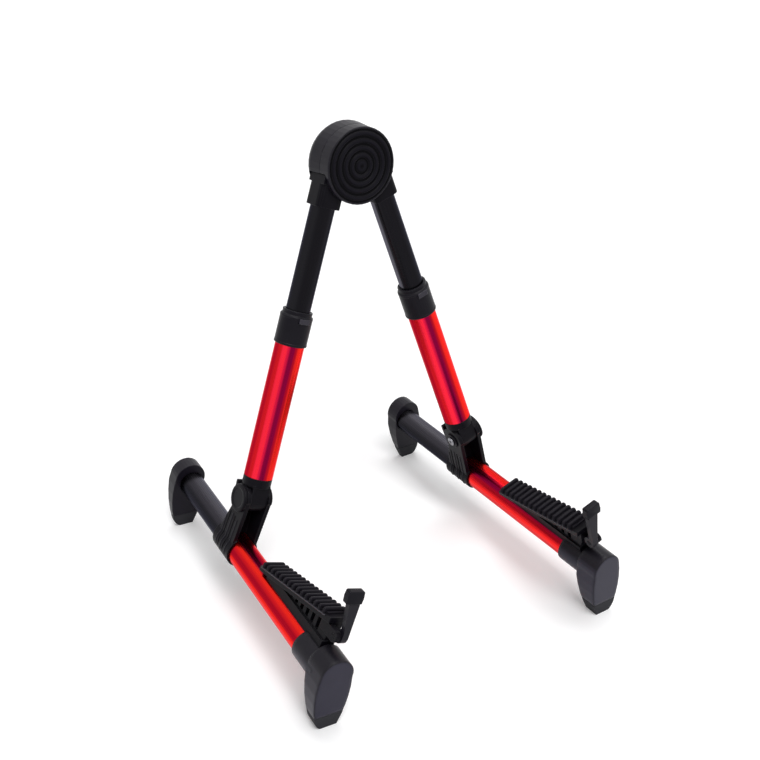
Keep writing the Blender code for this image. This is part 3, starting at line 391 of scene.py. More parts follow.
def tube_group(name, bands):
    """Anodised tube: painted highlight and reflection bands lengthwise round the tube's own Z axis, and fine drawn
    streaks.
    """
    if name in bpy.data.node_groups:
        return bpy.data.node_groups[name]
    inputs = (("Vector", "Vector", None), ("Reflection Band Strength", "Float", 1.0), ("Streaks", "Float", 0.3))
    outputs = (("Colour", "Color"), ("Roughness", "Float"), ("Normal", "Vector"))
    tree, entry, leave = new_group(name, inputs, outputs)
    split = tree.nodes.new("ShaderNodeSeparateXYZ")
    tree.links.new(entry.outputs["Vector"], split.inputs[0])
    stretch = tree.nodes.new("ShaderNodeVectorMath")
    stretch.operation = "MULTIPLY"
    stretch.inputs[1].default_value = (1.0, 1.0, 0.012)
    tree.links.new(entry.outputs["Vector"], stretch.inputs[0])
    fine = noise(tree, stretch.outputs[0], 900.0, 3.0)
    broad = noise(tree, stretch.outputs[0], 160.0, 2.0)
    angle = maths(tree, "ARCTAN2", split.outputs["Y"], split.outputs["X"])
    turn = maths(tree, "ADD", maths(tree, "DIVIDE", angle, math.tau), 0.5)
    wander = maths(tree, "MULTIPLY", maths(tree, "SUBTRACT", broad, 0.5), 0.022)
    # The ramp paints lengthwise highlights and reflections, in a frame turned to face the camera
    ramp = tree.nodes.new("ShaderNodeValToRGB")
    ramp.color_ramp.interpolation = "EASE"
    elements = ramp.color_ramp.elements
    for index, (degrees, shade) in enumerate(bands):
        place = degrees / 360 + 0.5
        if index < 2:
            element = elements[index]
            element.position = place
        else:
            element = elements.new(place)
        element.color = (*TUBE_SHADES_AND_PAINTED_REFLECTIONS[shade], 1)
    last = elements.new(1.0)
    last.color = (*TUBE_SHADES_AND_PAINTED_REFLECTIONS[bands[0][1]], 1)
    tree.links.new(maths(tree, "ADD", turn, wander), ramp.inputs[0])
    middle = tuple(sum(TUBE_SHADES_AND_PAINTED_REFLECTIONS[shade][part] for _, shade in bands) / len(bands) for part in range(3))
    reflection_banded = blend_colour(tree, entry.outputs["Reflection Band Strength"], (*middle, 1), ramp.outputs[0])
    darker = blend_colour(tree, 1.0, reflection_banded, (0.55, 0.5, 0.6, 1), "MULTIPLY")
    share = maths(tree, "MULTIPLY", fine, entry.outputs["Streaks"], clamp=True)
    tree.links.new(blend_colour(tree, share, reflection_banded, darker), leave.inputs["Colour"])
    shift = maths(tree, "MULTIPLY", maths(tree, "SUBTRACT", fine, 0.5), 0.14)
    tree.links.new(maths(tree, "ADD", shift, 0.27, clamp=True), leave.inputs["Roughness"])
    strength = maths(tree, "MULTIPLY", entry.outputs["Streaks"], 0.12)
    tree.links.new(bump(tree, strength, 0.1 * MM, fine), leave.inputs["Normal"])
    return tree


# Materials
def grouped(name, tree, values, matrix=None):
    """A Principled material fed by a group, on Object coordinates or in the frame that a matrix gives."""
    made = bpy.data.materials.new(name)
    made.use_nodes = True
    nodes, links = made.node_tree.nodes, made.node_tree.links
    shader = nodes["Principled BSDF"]
    place = nodes.new("ShaderNodeTexCoord")
    group = nodes.new("ShaderNodeGroup")
    group.node_tree = tree
    source = place.outputs["Object"]
    if matrix is not None:
        mapping = nodes.new("ShaderNodeMapping")
        mapping.vector_type = "TEXTURE"
        mapping.inputs["Location"].default_value = matrix.to_translation()
        mapping.inputs["Rotation"].default_value = matrix.to_euler()
        links.new(source, mapping.inputs["Vector"])
        source = mapping.outputs[0]
    links.new(source, group.inputs["Vector"])
    for label, value in values.items():
        group.inputs[label].default_value = value
    links.new(group.outputs["Colour"], shader.inputs["Base Color"])
    links.new(group.outputs["Roughness"], shader.inputs["Roughness"])
    links.new(group.outputs["Normal"], shader.inputs["Normal"])
    return made


def moulded(name, colour, roughness, grain=0.15, wear_and_sheen=0.5, dust=0.02, scale=1500.0, gloss=0.06, sheen=0.0):
    if name in bpy.data.materials:
        return bpy.data.materials[name]
    values = {"Colour": (*colour, 1), "Roughness": roughness, "Grain Scale": scale, "Grain Strength": grain,
              "Wear And Sheen": wear_and_sheen, "Dust": dust}
    made = grouped(name, moulded_group(), values)
    shader = made.node_tree.nodes["Principled BSDF"]
    shader.inputs["Specular IOR Level"].default_value = gloss
    shader.inputs["Sheen Weight"].default_value = sheen
    return made


def black_plastic():
    props = bpy.context.scene.stand_finish
    return moulded("Black Plastic", props.plastic_colour, props.plastic_roughness, props.plastic_grain,
                   props.edge_wear_and_sheen, props.dust)


def satin_plastic():
    props = bpy.context.scene.stand_finish
    colour = [2.1 * part for part in props.plastic_colour]
    return moulded("Satin Plastic", colour, props.plastic_roughness, props.plastic_grain, props.edge_wear_and_sheen,
                   props.dust, gloss=0.14)


def foot_plastic():
    """Satin plastic with a painted reflection: paler on upright faces, darker on upward faces and rounded edges."""
    if "Foot Plastic" in bpy.data.materials:
        return bpy.data.materials["Foot Plastic"]
    props = bpy.context.scene.stand_finish
    made = moulded("Foot Plastic", props.plastic_colour, 0.32, props.plastic_grain, 0.2 * props.edge_wear_and_sheen, props.dust,
                   gloss=0.14)
    nodes, links = made.node_tree.nodes, made.node_tree.links
    surface = next(node for node in nodes if node.type == "GROUP")
    surface.inputs["Edge Radius"].default_value = 4 * MM
    painted_reflection = nodes.new("ShaderNodeGroup")
    painted_reflection.node_tree = upright_reflection_group()
    # The paler upright colour is a painted reflection, the darker upward one painted shade
    painted_reflection.inputs["Upright"].default_value = (0.038, 0.035, 0.058, 1)
    painted_reflection.inputs["Upward Painted Shade"].default_value = (*(1.8 * part for part in props.plastic_colour), 1)
    links.new(painted_reflection.outputs[0], surface.inputs["Colour"])
    return made


def collar_plastic():
    props = bpy.context.scene.stand_finish
    colour = [1.5 * part for part in props.plastic_colour]
    return moulded("Collar Plastic", colour, props.plastic_roughness, props.plastic_grain, props.edge_wear_and_sheen,
                   props.dust, gloss=0.1)


# Plastic painted pale as a highlight: the glint on the lock button's lip and along the rests' edges
def pale_highlight_plastic():
    props = bpy.context.scene.stand_finish
    colour = [4.5 * part for part in props.plastic_colour]
    return moulded("Painted Highlight Plastic", colour, 0.25, props.plastic_grain, 1.0, props.dust, gloss=0.3)


def rib_rubber():
    props = bpy.context.scene.stand_finish
    return moulded("Rib Rubber", (0.0150, 0.0132, 0.0185), 0.45, 0.3, 0.5 * props.edge_wear_and_sheen, props.dust, 2400.0,
                   0.05)


def tip_rubber():
    props = bpy.context.scene.stand_finish
    return moulded("Tip Rubber", (0.0125, 0.0118, 0.0165), 0.42, 0.3, 0.5 * props.edge_wear_and_sheen, 1.4 * props.dust,
                   2400.0, 0.06)


def ringed_rubber(matrix, first, pitch):
    """Rubber with painted highlights on its raised rings and painted shade in its hollows, in the frame of the pad.
    """
    if "Ringed Rubber" in bpy.data.materials:
        return bpy.data.materials["Ringed Rubber"]
    props = bpy.context.scene.stand_finish
    made = moulded("Ringed Rubber", (0.004, 0.004, 0.005), 0.4, 0.3, 0.5 * props.edge_wear_and_sheen, props.dust, 2400.0,
                   0.04)
    nodes, links = made.node_tree.nodes, made.node_tree.links
    surface = next(node for node in nodes if node.type == "GROUP")
    source = next(node for node in nodes if node.type == "TEX_COORD")
    mapping = nodes.new("ShaderNodeMapping")
    mapping.vector_type = "TEXTURE"
    mapping.inputs["Location"].default_value = matrix.to_translation()
    mapping.inputs["Rotation"].default_value = matrix.to_euler()
    links.new(source.outputs["Object"], mapping.inputs["Vector"])
    rings = nodes.new("ShaderNodeGroup")
    rings.node_tree = ring_highlight_group()
    rings.inputs["First Radius"].default_value = first
    rings.inputs["Pitch"].default_value = pitch
    links.new(mapping.outputs[0], rings.inputs["Vector"])
    links.new(rings.outputs[0], surface.inputs["Colour"])
    return made


def black_rubber():
    props = bpy.context.scene.stand_finish
    return moulded("Black Rubber", (0.0044, 0.0040, 0.0052), 0.42, 0.3, 0.5 * props.edge_wear_and_sheen, 1.4 * props.dust,
                   2400.0, 0.04)


def plated_steel():
    if "Plated Steel" in bpy.data.materials:
        return bpy.data.materials["Plated Steel"]
    values = {"Colour": (0.30, 0.30, 0.32, 1), "Roughness": 0.34, "Grain Scale": 3000.0, "Grain Strength": 0.04,
              "Wear And Sheen": 0.0, "Dust": 0.0}
    made = grouped("Plated Steel", moulded_group(), values)
    made.node_tree.nodes["Principled BSDF"].inputs["Metallic"].default_value = 1.0
    return made


# Anodised metal whose colour carries painted highlight and reflection bands
def anodised(name, group_name, bands, matrix):
    props = bpy.context.scene.stand_finish
    values = {"Reflection Band Strength": props.reflection_band_strength, "Streaks": props.streaks}
    made = grouped(name, tube_group(group_name, bands), values, matrix)
    shader = made.node_tree.nodes["Principled BSDF"]
    shader.inputs["Metallic"].default_value = 1.0
    shader.inputs["Specular Tint"].default_value = (1.0, 0.5, 0.52, 1) if "Red" in group_name else (
        0.55, 0.55, 0.6, 1)
    return made


def finish_nodes(names, finish):
    for name in names:
        mesh = frame["nodes"][name].data
        mesh.materials.clear()
        mesh.materials.append(finish)


def both(*names):
    return [side + "_" + name for side in SIDES for name in names]


# Pieces
def take_in(piece, body, finish, replaced=()):
    """Gives a finished piece its material, its body and the solid that it stands for."""
    piece.data.materials.clear()
    piece.data.materials.append(finish)
    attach(piece, body)
    if replaced:
        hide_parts(*replaced)
    return piece


def from_bmesh(name, work, matrix, smooth=40):
    """An object at the origin whose mesh holds the shape in place, from a bmesh in millimetres."""
    bmesh.ops.remove_doubles(work, verts=work.verts, dist=0.0005)
    bmesh.ops.recalc_face_normals(work, faces=work.faces)
    bmesh.ops.transform(work, matrix=matrix @ Matrix.Scale(MM, 4), verts=work.verts)
    mesh = bpy.data.meshes.new(name)
    work.to_mesh(mesh)
    work.free()
    mesh.shade_smooth()
    mesh.set_sharp_from_angle(angle=math.radians(smooth))
    made = bpy.data.objects.new(name, mesh)
    bpy.context.scene.collection.objects.link(made)
    return made


def lathe(profile, axis, steps=96):
    """A bmesh of a profile of (radius, height) points turned round an axis at the origin."""
    work = bmesh.new()
    across = Vector((0, 0, 1)) if abs(axis.z) < 0.5 else Vector((1, 0, 0))
    points = [work.verts.new(across * radius + axis * height) for radius, height in profile]
    edges = [work.edges.new(pair) for pair in zip(points, points[1:])]
    bmesh.ops.spin(work, geom=points + edges, axis=axis, cent=(0, 0, 0), angle=math.tau, steps=steps)
    bmesh.ops.remove_doubles(work, verts=work.verts, dist=0.0005)
    return work


def rounding(corner_from, corner, corner_to, radius, count=5):
    """Points that round a corner of a profile between two neighbours."""
    middle = Vector(corner)
    one = (Vector(corner_from) - middle).normalized()
    two = (Vector(corner_to) - middle).normalized()
    first, last = middle + one * radius, middle + two * radius
    points = []
    for index in range(count + 1):
        t = index / count
        points.append(tuple((1 - t) ** 2 * first + 2 * t * (1 - t) * middle + t ** 2 * last))
    return points


def rounded_profile(points, radii):
    """A profile whose inner corners are rounded by the given radii; 0 leaves a corner as it is."""
    out = []
    for index, (point, radius) in enumerate(zip(points, radii)):
        if radius:
            out += rounding(points[index - 1], point, points[index + 1], radius)
        else:
            out.append(point)
    return out


def beads(name, lines, radius, matrix):
    """Round beads along lines of points in millimetres, as one mesh object placed by a matrix."""
    curve = bpy.data.curves.new(name, "CURVE")
    curve.dimensions = "3D"
    curve.bevel_depth = radius
    curve.bevel_resolution = 3
    curve.use_fill_caps = True
    for line in lines:
        spline = curve.splines.new("POLY")
        spline.points.add(len(line) - 1)
        for point, place in zip(spline.points, line):
            point.co = (*place, 1)
    guide = bpy.data.objects.new(name, curve)
    bpy.context.scene.collection.objects.link(guide)
    view = bpy.context.evaluated_depsgraph_get()
    mesh = bpy.data.meshes.new_from_object(guide.evaluated_get(view))
    work = bmesh.new()
    work.from_mesh(mesh)
    bpy.data.meshes.remove(mesh)
    bpy.data.objects.remove(guide)
    bpy.data.curves.remove(curve)
    return from_bmesh(name, work, matrix, 60)


# Geometry Nodes trees
def new_tree(name, sockets):
    """A Geometry Nodes tree with one geometry output and named inputs given as (name, type, default)."""
    tree = bpy.data.node_groups.new(name, "GeometryNodeTree")
    tree.interface.new_socket("Geometry", in_out="OUTPUT", socket_type="NodeSocketGeometry")
    for label, kind, value in sockets:
        socket = tree.interface.new_socket(label, in_out="INPUT", socket_type="NodeSocket" + kind)
        if value is not None:
            socket.default_value = value
    return tree, tree.nodes.new("NodeGroupInput"), tree.nodes.new("NodeGroupOutput")


def add(tree, kind, settings=None, **links):
    """A node with attributes set and inputs linked or valued; names use _ for a space."""
    node = tree.nodes.new(kind)
    for key, value in (settings or {}).items():
        setattr(node, key, value)
    for label, value in links.items():
        socket = node.inputs[label.replace("_", " ")]
        if isinstance(value, bpy.types.NodeSocket):
            tree.links.new(value, socket)
        else:
            socket.default_value = value
    return node


def vector_of(tree, x=0.0, y=0.0, z=0.0):
    return add(tree, "ShaderNodeCombineXYZ", X=x, Y=y, Z=z).outputs[0]


def grow(tree, name, values, matrix):
    """Evaluates a tree on a new object and gives the result as a plain mesh object, placed in its mesh."""
    carrier = bpy.data.objects.new(name, bpy.data.meshes.new(name))
    bpy.context.scene.collection.objects.link(carrier)
    modifier = carrier.modifiers.new("Shape", "NODES")
    modifier.node_group = tree
    sockets = {item.name: item.identifier for item in tree.interface.items_tree if item.in_out == "INPUT"}
    for label, value in values.items():
        modifier[sockets[label]] = value
    view = bpy.context.evaluated_depsgraph_get()
    mesh = bpy.data.meshes.new_from_object(carrier.evaluated_get(view))
    carrier.modifiers.remove(modifier)
    mesh.transform(matrix)
    mesh.set_sharp_from_angle(angle=math.radians(45))
    old = carrier.data
    carrier.data = mesh
    bpy.data.meshes.remove(old)
    return carrier


def rib_tree():
    """Rubber rest: a core along X with round-topped cross ribs that wrap down over its sides."""
    sockets = (("Ribs", "Int", 15), ("Pitch", "Float", 0.0065), ("Half Width", "Float", 0.0106),
               ("Rib Width", "Float", 0.0029), ("Rib Height", "Float", 0.0034), ("Drop", "Float", 0.0044),
               ("Core Half Width", "Float", 0.0074), ("Bottom", "Float", 0.0047), ("Material", "Material", None))
    tree, entry, leave = new_tree("Ribbed Rest", sockets)
    get = entry.outputs
    half_high = maths(tree, "MULTIPLY", get["Rib Height"], 0.5)
    side = maths(tree, "SUBTRACT", get["Half Width"], half_high)
    minus_side = maths(tree, "MULTIPLY", side, -1.0)
    top = maths(tree, "MULTIPLY", half_high, -1.0)
    low = maths(tree, "MULTIPLY", get["Drop"], -1.0)
    arch = add(tree, "GeometryNodeCurvePrimitiveQuadrilateral", {"mode": "POINTS"},
               Point_1=vector_of(tree, 0.0, minus_side, low), Point_2=vector_of(tree, 0.0, minus_side, top),
               Point_3=vector_of(tree, 0.0, side, top), Point_4=vector_of(tree, 0.0, side, low))
    open_arch = add(tree, "GeometryNodeSetSplineCyclic", Geometry=arch.outputs[0], Cyclic=False)
    soft_arch = add(tree, "GeometryNodeFilletCurve", {"mode": "POLY"}, Curve=open_arch.outputs[0], Count=5,
                    Radius=0.0009)
    upright = add(tree, "GeometryNodeSetCurveNormal", {"mode": "FREE"}, Curve=soft_arch.outputs[0],
                  Normal=(1.0, 0.0, 0.0))
    section = add(tree, "GeometryNodeCurvePrimitiveQuadrilateral", {"mode": "RECTANGLE"}, Width=get["Rib Width"],
                  Height=get["Rib Height"])
    soft_section = add(tree, "GeometryNodeFilletCurve", {"mode": "POLY"}, Curve=section.outputs[0], Count=3,
                       Radius=0.0011)
    rib = add(tree, "GeometryNodeCurveToMesh", Curve=upright.outputs[0], Profile_Curve=soft_section.outputs[0])
    rib.inputs["Fill Caps"].default_value = True
    start = maths(tree, "MULTIPLY", get["Pitch"], 0.5)
    line = add(tree, "GeometryNodeMeshLine", {"mode": "OFFSET"}, Count=get["Ribs"],
               Start_Location=vector_of(tree, start), Offset=vector_of(tree, get["Pitch"]))
    placed = add(tree, "GeometryNodeInstanceOnPoints", Points=line.outputs[0], Instance=rib.outputs[0])
    ribs = add(tree, "GeometryNodeRealizeInstances", Geometry=placed.outputs[0])
    length = maths(tree, "MULTIPLY", get["Pitch"], get["Ribs"])
    width = maths(tree, "MULTIPLY", get["Core Half Width"], 2.0)
    depth = maths(tree, "SUBTRACT", get["Bottom"], get["Rib Height"])
    core = add(tree, "GeometryNodeMeshCube", Size=vector_of(tree, length, width, depth))
    middle = maths(tree, "MULTIPLY", length, 0.5)
    down = maths(tree, "MULTIPLY", maths(tree, "ADD", get["Bottom"], get["Rib Height"]), -0.5)
    set_down = add(tree, "GeometryNodeTransform", Geometry=core.outputs[0],
                   Translation=vector_of(tree, middle, 0.0, down))
    joined = tree.nodes.new("GeometryNodeJoinGeometry")
    tree.links.new(set_down.outputs[0], joined.inputs[0])
    tree.links.new(ribs.outputs[0], joined.inputs[0])
    whole = add(tree, "GeometryNodeRealizeInstances", Geometry=joined.outputs[0])
    smooth = add(tree, "GeometryNodeSetShadeSmooth", Geometry=whole.outputs[0])
    done = add(tree, "GeometryNodeSetMaterial", Geometry=smooth.outputs[0], Material=get["Material"])
    tree.links.new(done.outputs[0], leave.inputs[0])
    return tree


def ring_tree():
    """Round pad in the XY plane, facing +Z: a disc with raised round-topped rings."""
    sockets = (("Rings", "Int", 4), ("Pitch", "Float", 0.0058), ("First Radius", "Float", 0.0088),
               ("Ring Radius", "Float", 0.0017), ("Disc Radius", "Float", 0.0298), ("Disc Depth", "Float", 0.0005),
               ("Material", "Material", None))
    tree, entry, leave = new_tree("Ringed Pad", sockets)
    get = entry.outputs
    disc = add(tree, "GeometryNodeMeshCylinder", {"fill_type": "NGON"}, Vertices=128, Radius=get["Disc Radius"],
               Depth=get["Disc Depth"])
    middle = maths(tree, "MULTIPLY", get["Disc Depth"], 0.5)
    base = add(tree, "GeometryNodeTransform", Geometry=disc.outputs[0], Translation=vector_of(tree, z=middle))
    boss = add(tree, "GeometryNodeMeshUVSphere", Segments=64, Rings=16)
    tree.links.new(maths(tree, "SUBTRACT", get["First Radius"], maths(tree, "MULTIPLY", get["Pitch"], 0.62)),
                   boss.inputs["Radius"])
    flat_boss = add(tree, "GeometryNodeTransform", Geometry=boss.outputs[0], Scale=(1.0, 1.0, 0.2),
                    Translation=vector_of(tree, z=get["Disc Depth"]))
    points = add(tree, "GeometryNodePoints", Count=get["Rings"])
    index = tree.nodes.new("GeometryNodeInputIndex")
    radius = maths(tree, "ADD", get["First Radius"], maths(tree, "MULTIPLY", index.outputs[0], get["Pitch"]))
    circle = add(tree, "GeometryNodeCurvePrimitiveCircle", Resolution=128, Radius=1.0)
    placed = add(tree, "GeometryNodeInstanceOnPoints", Points=points.outputs[0], Instance=circle.outputs[0],
                 Scale=vector_of(tree, radius, radius, 1.0))
    rounds = add(tree, "GeometryNodeRealizeInstances", Geometry=placed.outputs[0])
    section = add(tree, "GeometryNodeCurvePrimitiveCircle", Resolution=20, Radius=get["Ring Radius"])
    rings = add(tree, "GeometryNodeCurveToMesh", Curve=rounds.outputs[0], Profile_Curve=section.outputs[0])
    flat = add(tree, "GeometryNodeTransform", Geometry=rings.outputs[0], Scale=(1.0, 1.0, 0.65),
               Translation=vector_of(tree, z=get["Disc Depth"]))
    joined = tree.nodes.new("GeometryNodeJoinGeometry")
    for part in (base, flat_boss, flat):
        tree.links.new(part.outputs[0], joined.inputs[0])
    whole = add(tree, "GeometryNodeRealizeInstances", Geometry=joined.outputs[0])
    smooth = add(tree, "GeometryNodeSetShadeSmooth", Geometry=whole.outputs[0])
    done = add(tree, "GeometryNodeSetMaterial", Geometry=smooth.outputs[0], Material=get["Material"])
    tree.links.new(done.outputs[0], leave.inputs[0])
    return tree


class STAND_OT_plastic(bpy.types.Operator):
    """Give the moulded black parts their grain, flow marks and pale edges, partly rubbed wear and partly a painted
    edge highlight
    """

    bl_idname = "stand.plastic"
    bl_label = "Plastic Parts"

    def execute(self, context):
        finish_nodes(both("leg_yoke", "guide_bush", "leg_end", "hinge_bracket", "hinge_washer", "hinge_knob",
                          "arm", "hook_pin"), black_plastic())
        finish_nodes(["hub_rear_shell", "hub_front_cover"] + both("hook", "rear_foot"), satin_plastic())
        # The front feet get painted reflection on upright faces and painted shade on top
        finish_nodes(both("front_foot"), foot_plastic())
        finish_nodes(both("collar"), collar_plastic())
        # The lock buttons are painted pale as their highlight
        finish_nodes(both("lock_button"), pale_highlight_plastic())
        return {"FINISHED"}


class STAND_OT_tubes(bpy.types.Operator):
    """Give the red and black tubes their anodising, with painted highlight and reflection bands turned to the camera,
    and fine streaks
    """

    bl_idname = "stand.tubes"
    bl_label = "Tubes"

    def execute(self, context):
        # The painted reflection bands on every tube are turned to face the camera
        eye = camera_place()
        leg_reflection_bands = {"left": LEFT_BLACK_LEG_REFLECTION_BANDS, "right": RIGHT_BLACK_LEG_REFLECTION_BANDS}
        rail_reflection_bands = {"left": LEFT_RAIL_REFLECTION_BANDS, "right": RIGHT_RAIL_REFLECTION_BANDS}
        for side in SIDES:
            leg, rail = leg_frame(side), rail_frame(side)
            axis = rail @ Matrix.Translation((0, 0, -HINGE_RISE * MM))
            for name, tree, bands, along, place in (
                    ("lower_tube", "Red Leg Anodising With Painted Reflections", RED_LEG_REFLECTION_BANDS, leg.col[2], leg),
                    ("upper_tube", "Black " + side.title() + " Leg Anodising With Painted Reflections", leg_reflection_bands[side], leg.col[2], leg),
                    ("rail_front_tube", "Red " + side.title() + " Rail Anodising With Painted Reflections", rail_reflection_bands[side],
                     rail.col[1], axis),
                    ("rail_rear_tube", "Black Rail Anodising With Painted Reflections", BLACK_RAIL_REFLECTION_BANDS, rail.col[1], axis)):
                low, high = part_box(side + "_" + name)
                matrix = banded_frame(along.to_3d(), place.to_translation(), (low + high) / 2, eye)
                finish_nodes([side + "_" + name], anodised(side + "_" + name, tree, bands, matrix))
        return {"FINISHED"}


def banded_frame(along, place, middle, front):
    """Frame of a tube with Z along it and its X, where the painted reflection bands start, towards front, which is
    the camera's place.
    """
    z = along.normalized()
    x = (front - middle - z * (front - middle).dot(z)).normalized()
    return columns(x, z.cross(x), z, place)


class STAND_OT_rubber(bpy.types.Operator):
    """Give the treads and tips their soft finish"""

    bl_idname = "stand.rubber"
    bl_label = "Rubber Parts"

    def execute(self, context):
        props = context.scene.stand_finish
        tread = moulded("Grey Rubber", (0.030, 0.030, 0.035), 0.72, 0.3, 0.2, 1.5 * props.dust, 2000.0, 0.2)
        finish_nodes(["hub_pad"] + both("arm_pad", "hook_tip"), black_rubber())
        finish_nodes(both("front_tread", "rear_tread"), tread)
        return {"FINISHED"}


class STAND_OT_steel(bpy.types.Operator):
    """Give the pins, bolts and screw their plated finish"""

    bl_idname = "stand.steel"
    bl_label = "Steel Parts"

    def execute(self, context):
        finish_nodes(["hub_screw"] + both("pivot_pin", "hinge_bolt"), plated_steel())
        return {"FINISHED"}


class STAND_OT_hub_pad(bpy.types.Operator):
    """Lay the ringed rubber pad on the hub's face"""

    bl_idname = "stand.hub_pad"
    bl_label = "Hub Pad"

    def execute(self, context):
        props = context.scene.stand_rubber
        face = hub_frame() @ Matrix.Translation((0, -(HUB_FACE + 0.3) * MM, 0)) @ Matrix.Rotation(
            math.radians(90), 4, "X")
        rubber = ringed_rubber(face, FIRST_RING * MM, props.ring_pitch)
        values = {"Rings": props.ring_count, "Pitch": props.ring_pitch, "First Radius": FIRST_RING * MM,
                  "Material": rubber}
        pad = grow(ring_tree(), "hub_ringed_pad", values, face)
        take_in(pad, "hub", rubber, ("hub_pad",))
        return {"FINISHED"}


class STAND_OT_rests(bpy.types.Operator):
    """Lay the ribbed rubber on the two rests"""

    bl_idname = "stand.rests"
    bl_label = "Ribbed Rests"

    def execute(self, context):
        props = context.scene.stand_rubber
        rubber = rib_rubber()
        tree = rib_tree()
        values = {"Ribs": PAD_RIBS, "Pitch": PAD_PITCH * MM, "Half Width": PAD_HALF * MM,
                  "Rib Width": props.rib_width, "Drop": props.rib_drop, "Material": rubber}
        for side in SIDES:
            start = Vector((0, -PAD_START, PAD_START_RISE - HINGE_RISE)) * MM
            slope = math.atan(PAD_SLOPE)
            local = Matrix.Translation(start) @ Matrix.Rotation(-math.radians(90), 4, "Z") @ Matrix.Rotation(
                -slope, 4, "Y") @ Matrix.Scale(math.sqrt(1 + PAD_SLOPE ** 2), 4, (1, 0, 0))
            pad = grow(tree, side + "_ribbed_rest", values, rail_frame(side) @ local)
            take_in(pad, side + "_rail", rubber, (side + "_arm_pad",))
            # Pale beads along both sides of each rest: a painted highlight where the edge catches the light
            lines = [[(0.4, way * 10.0, -5.5), (PAD_RIBS * PAD_PITCH - 0.4, way * 10.0, -5.5)] for way in (-1, 1)]
            edges = beads(side + "_rest_highlight_beads", lines, 0.62, rail_frame(side) @ local)
            take_in(edges, side + "_rail", pale_highlight_plastic())
        return {"FINISHED"}


class STAND_OT_knobs(bpy.types.Operator):
    """Turn the soft-edged hinge knobs"""

    bl_idname = "stand.knobs"
    bl_label = "Hinge Knobs"

    def execute(self, context):
        for side in SIDES:
            corners = [(0, 2.35), (8.1, 2.35), (8.9, 2.8), (11.4, 2.8), (12.2, 2.0), (12.2, 0), (3.3, 0),
                       (3.3, 1.3), (0, 1.3)]
            profile = rounded_profile(corners, [0, 0.4, 0.35, 0.5, 0.6, 0.4, 0, 0, 0])
            out = Vector((-inward(side), 0, 0))
            work = lathe(profile, out)
            place = rail_frame(side) @ Matrix.Translation(out * KNOB_INNER * MM)
            knob = from_bmesh(side + "_dished_knob", work, place)
            take_in(knob, side + "_rail", black_plastic(), (side + "_hinge_knob",))
        return {"FINISHED"}


class STAND_OT_collar_beads(bpy.types.Operator):
    """Run a rounded bead round both ends of each collar"""

    bl_idname = "stand.collar_beads"
    bl_label = "Collar Beads"

    def execute(self, context):
        for side in SIDES:
            down = Vector((0, 0, -1))
            work = bmesh.new()
            for middle, radius, half, proud in ((COLLAR_END - 1.5, COLLAR_R, 1.2, 0.22),
                                                (COLLAR_TOP + 5.6, COLLAR_R, 1.0, 0.18),
                                                (COLLAR_TOP + 0.8, COLLAR_R - 1.3, 0.7, 0.16)):
                ring = [(radius - 0.5, middle - half), (radius + proud * 0.4, middle - half * 0.8),
                        (radius + proud, middle), (radius + proud * 0.4, middle + half * 0.8),
                        (radius - 0.5, middle + half), (radius - 0.5, middle - half)]
                part = lathe(ring, down, 72)
                held = bpy.data.meshes.new("bead")
                part.to_mesh(held)
                part.free()
                work.from_mesh(held)
                bpy.data.meshes.remove(held)
            beads = from_bmesh(side + "_collar_beads", work, leg_frame(side), 60)
            take_in(beads, side + "_lower_leg", collar_plastic())
        return {"FINISHED"}


class STAND_OT_bolt_heads(bpy.types.Operator):
    """Set a low socket screw in each hinge"""

    bl_idname = "stand.bolt_heads"
    bl_label = "Bolt Heads"

    def execute(self, context):
        for side in SIDES:
            way = Vector((inward(side), 0, 0))
            low, high = 13.6, 14.9
            corners = [(0, -13.3), (3.0, -13.3), (3.0, low), (4.15, low), (4.15, high - 0.3), (2.3, high)]
            profile = rounded_profile(corners, [0, 0, 0, 0.1, 0.4, 0])
            work = lathe(profile, way, 48)
            rim = [edge for edge in work.edges if edge.is_boundary
                   and all(abs(vert.co.x) > high - 0.1 for vert in edge.verts)]
            if len(rim) != 48:
                raise RuntimeError("The screw head's rim has %d edges" % len(rim))
            socket_ring(work, rim, way, high)
            screw = from_bmesh(side + "_socket_screw", work, rail_frame(side), 35)
            take_in(screw, side + "_rail", plated_steel(), (side + "_hinge_bolt",))
        return {"FINISHED"}


def socket_ring(work, rim, way, high):
    """Narrows a screw head's open rim to six flats and sinks a hexagonal socket."""
    made = bmesh.ops.extrude_edge_only(work, edges=rim)["geom"]
    ring = [item for item in made if isinstance(item, bmesh.types.BMVert)]
    flat = 1.55
    for vert in ring:
        angle = math.atan2(vert.co.z, vert.co.y)
        turn = (angle + math.radians(30)) % math.radians(60) - math.radians(30)
        radius = flat / math.cos(turn)
        vert.co = Vector((way.x * (high - 0.02), radius * math.cos(angle), radius * math.sin(angle)))
    edges = [item for item in made if isinstance(item, bmesh.types.BMEdge)]
    sunk = bmesh.ops.extrude_edge_only(work, edges=edges)["geom"]
    for vert in (item for item in sunk if isinstance(item, bmesh.types.BMVert)):
        vert.co.x = way.x * (high - 1.1)
    bottom = [item for item in sunk if isinstance(item, bmesh.types.BMEdge)]
    bmesh.ops.edgeloop_fill(work, edges=bottom)


class STAND_OT_cheek_ridges(bpy.types.Operator):
    """Raise rounded ridges beside the grooves of each hinge bracket"""

    bl_idname = "stand.cheek_ridges"
    bl_label = "Cheek Ridges"

    def execute(self, context):
        for side in SIDES:
            lines = []
            for way in (-1, 1):
                for rear, top in ((11.2, -24.0), (2.6, -17.0), (-6.0, -19.0)):
                    line = [(way * CHEEK_OUT, rear, top)]
                    start = math.acos(CHEEK_OUT / SADDLE_R)
                    for step in range(7):
                        angle = start + (math.radians(-25) - start) * step / 6
                        line.append((way * SADDLE_R * math.cos(angle), rear,
                                     SADDLE_R * math.sin(angle) - HINGE_RISE))
                    lines.append(line)
            ridges = beads(side + "_cheek_ridges", lines, 0.62, rail_frame(side))
            take_in(ridges, side + "_rail", satin_plastic())
        return {"FINISHED"}


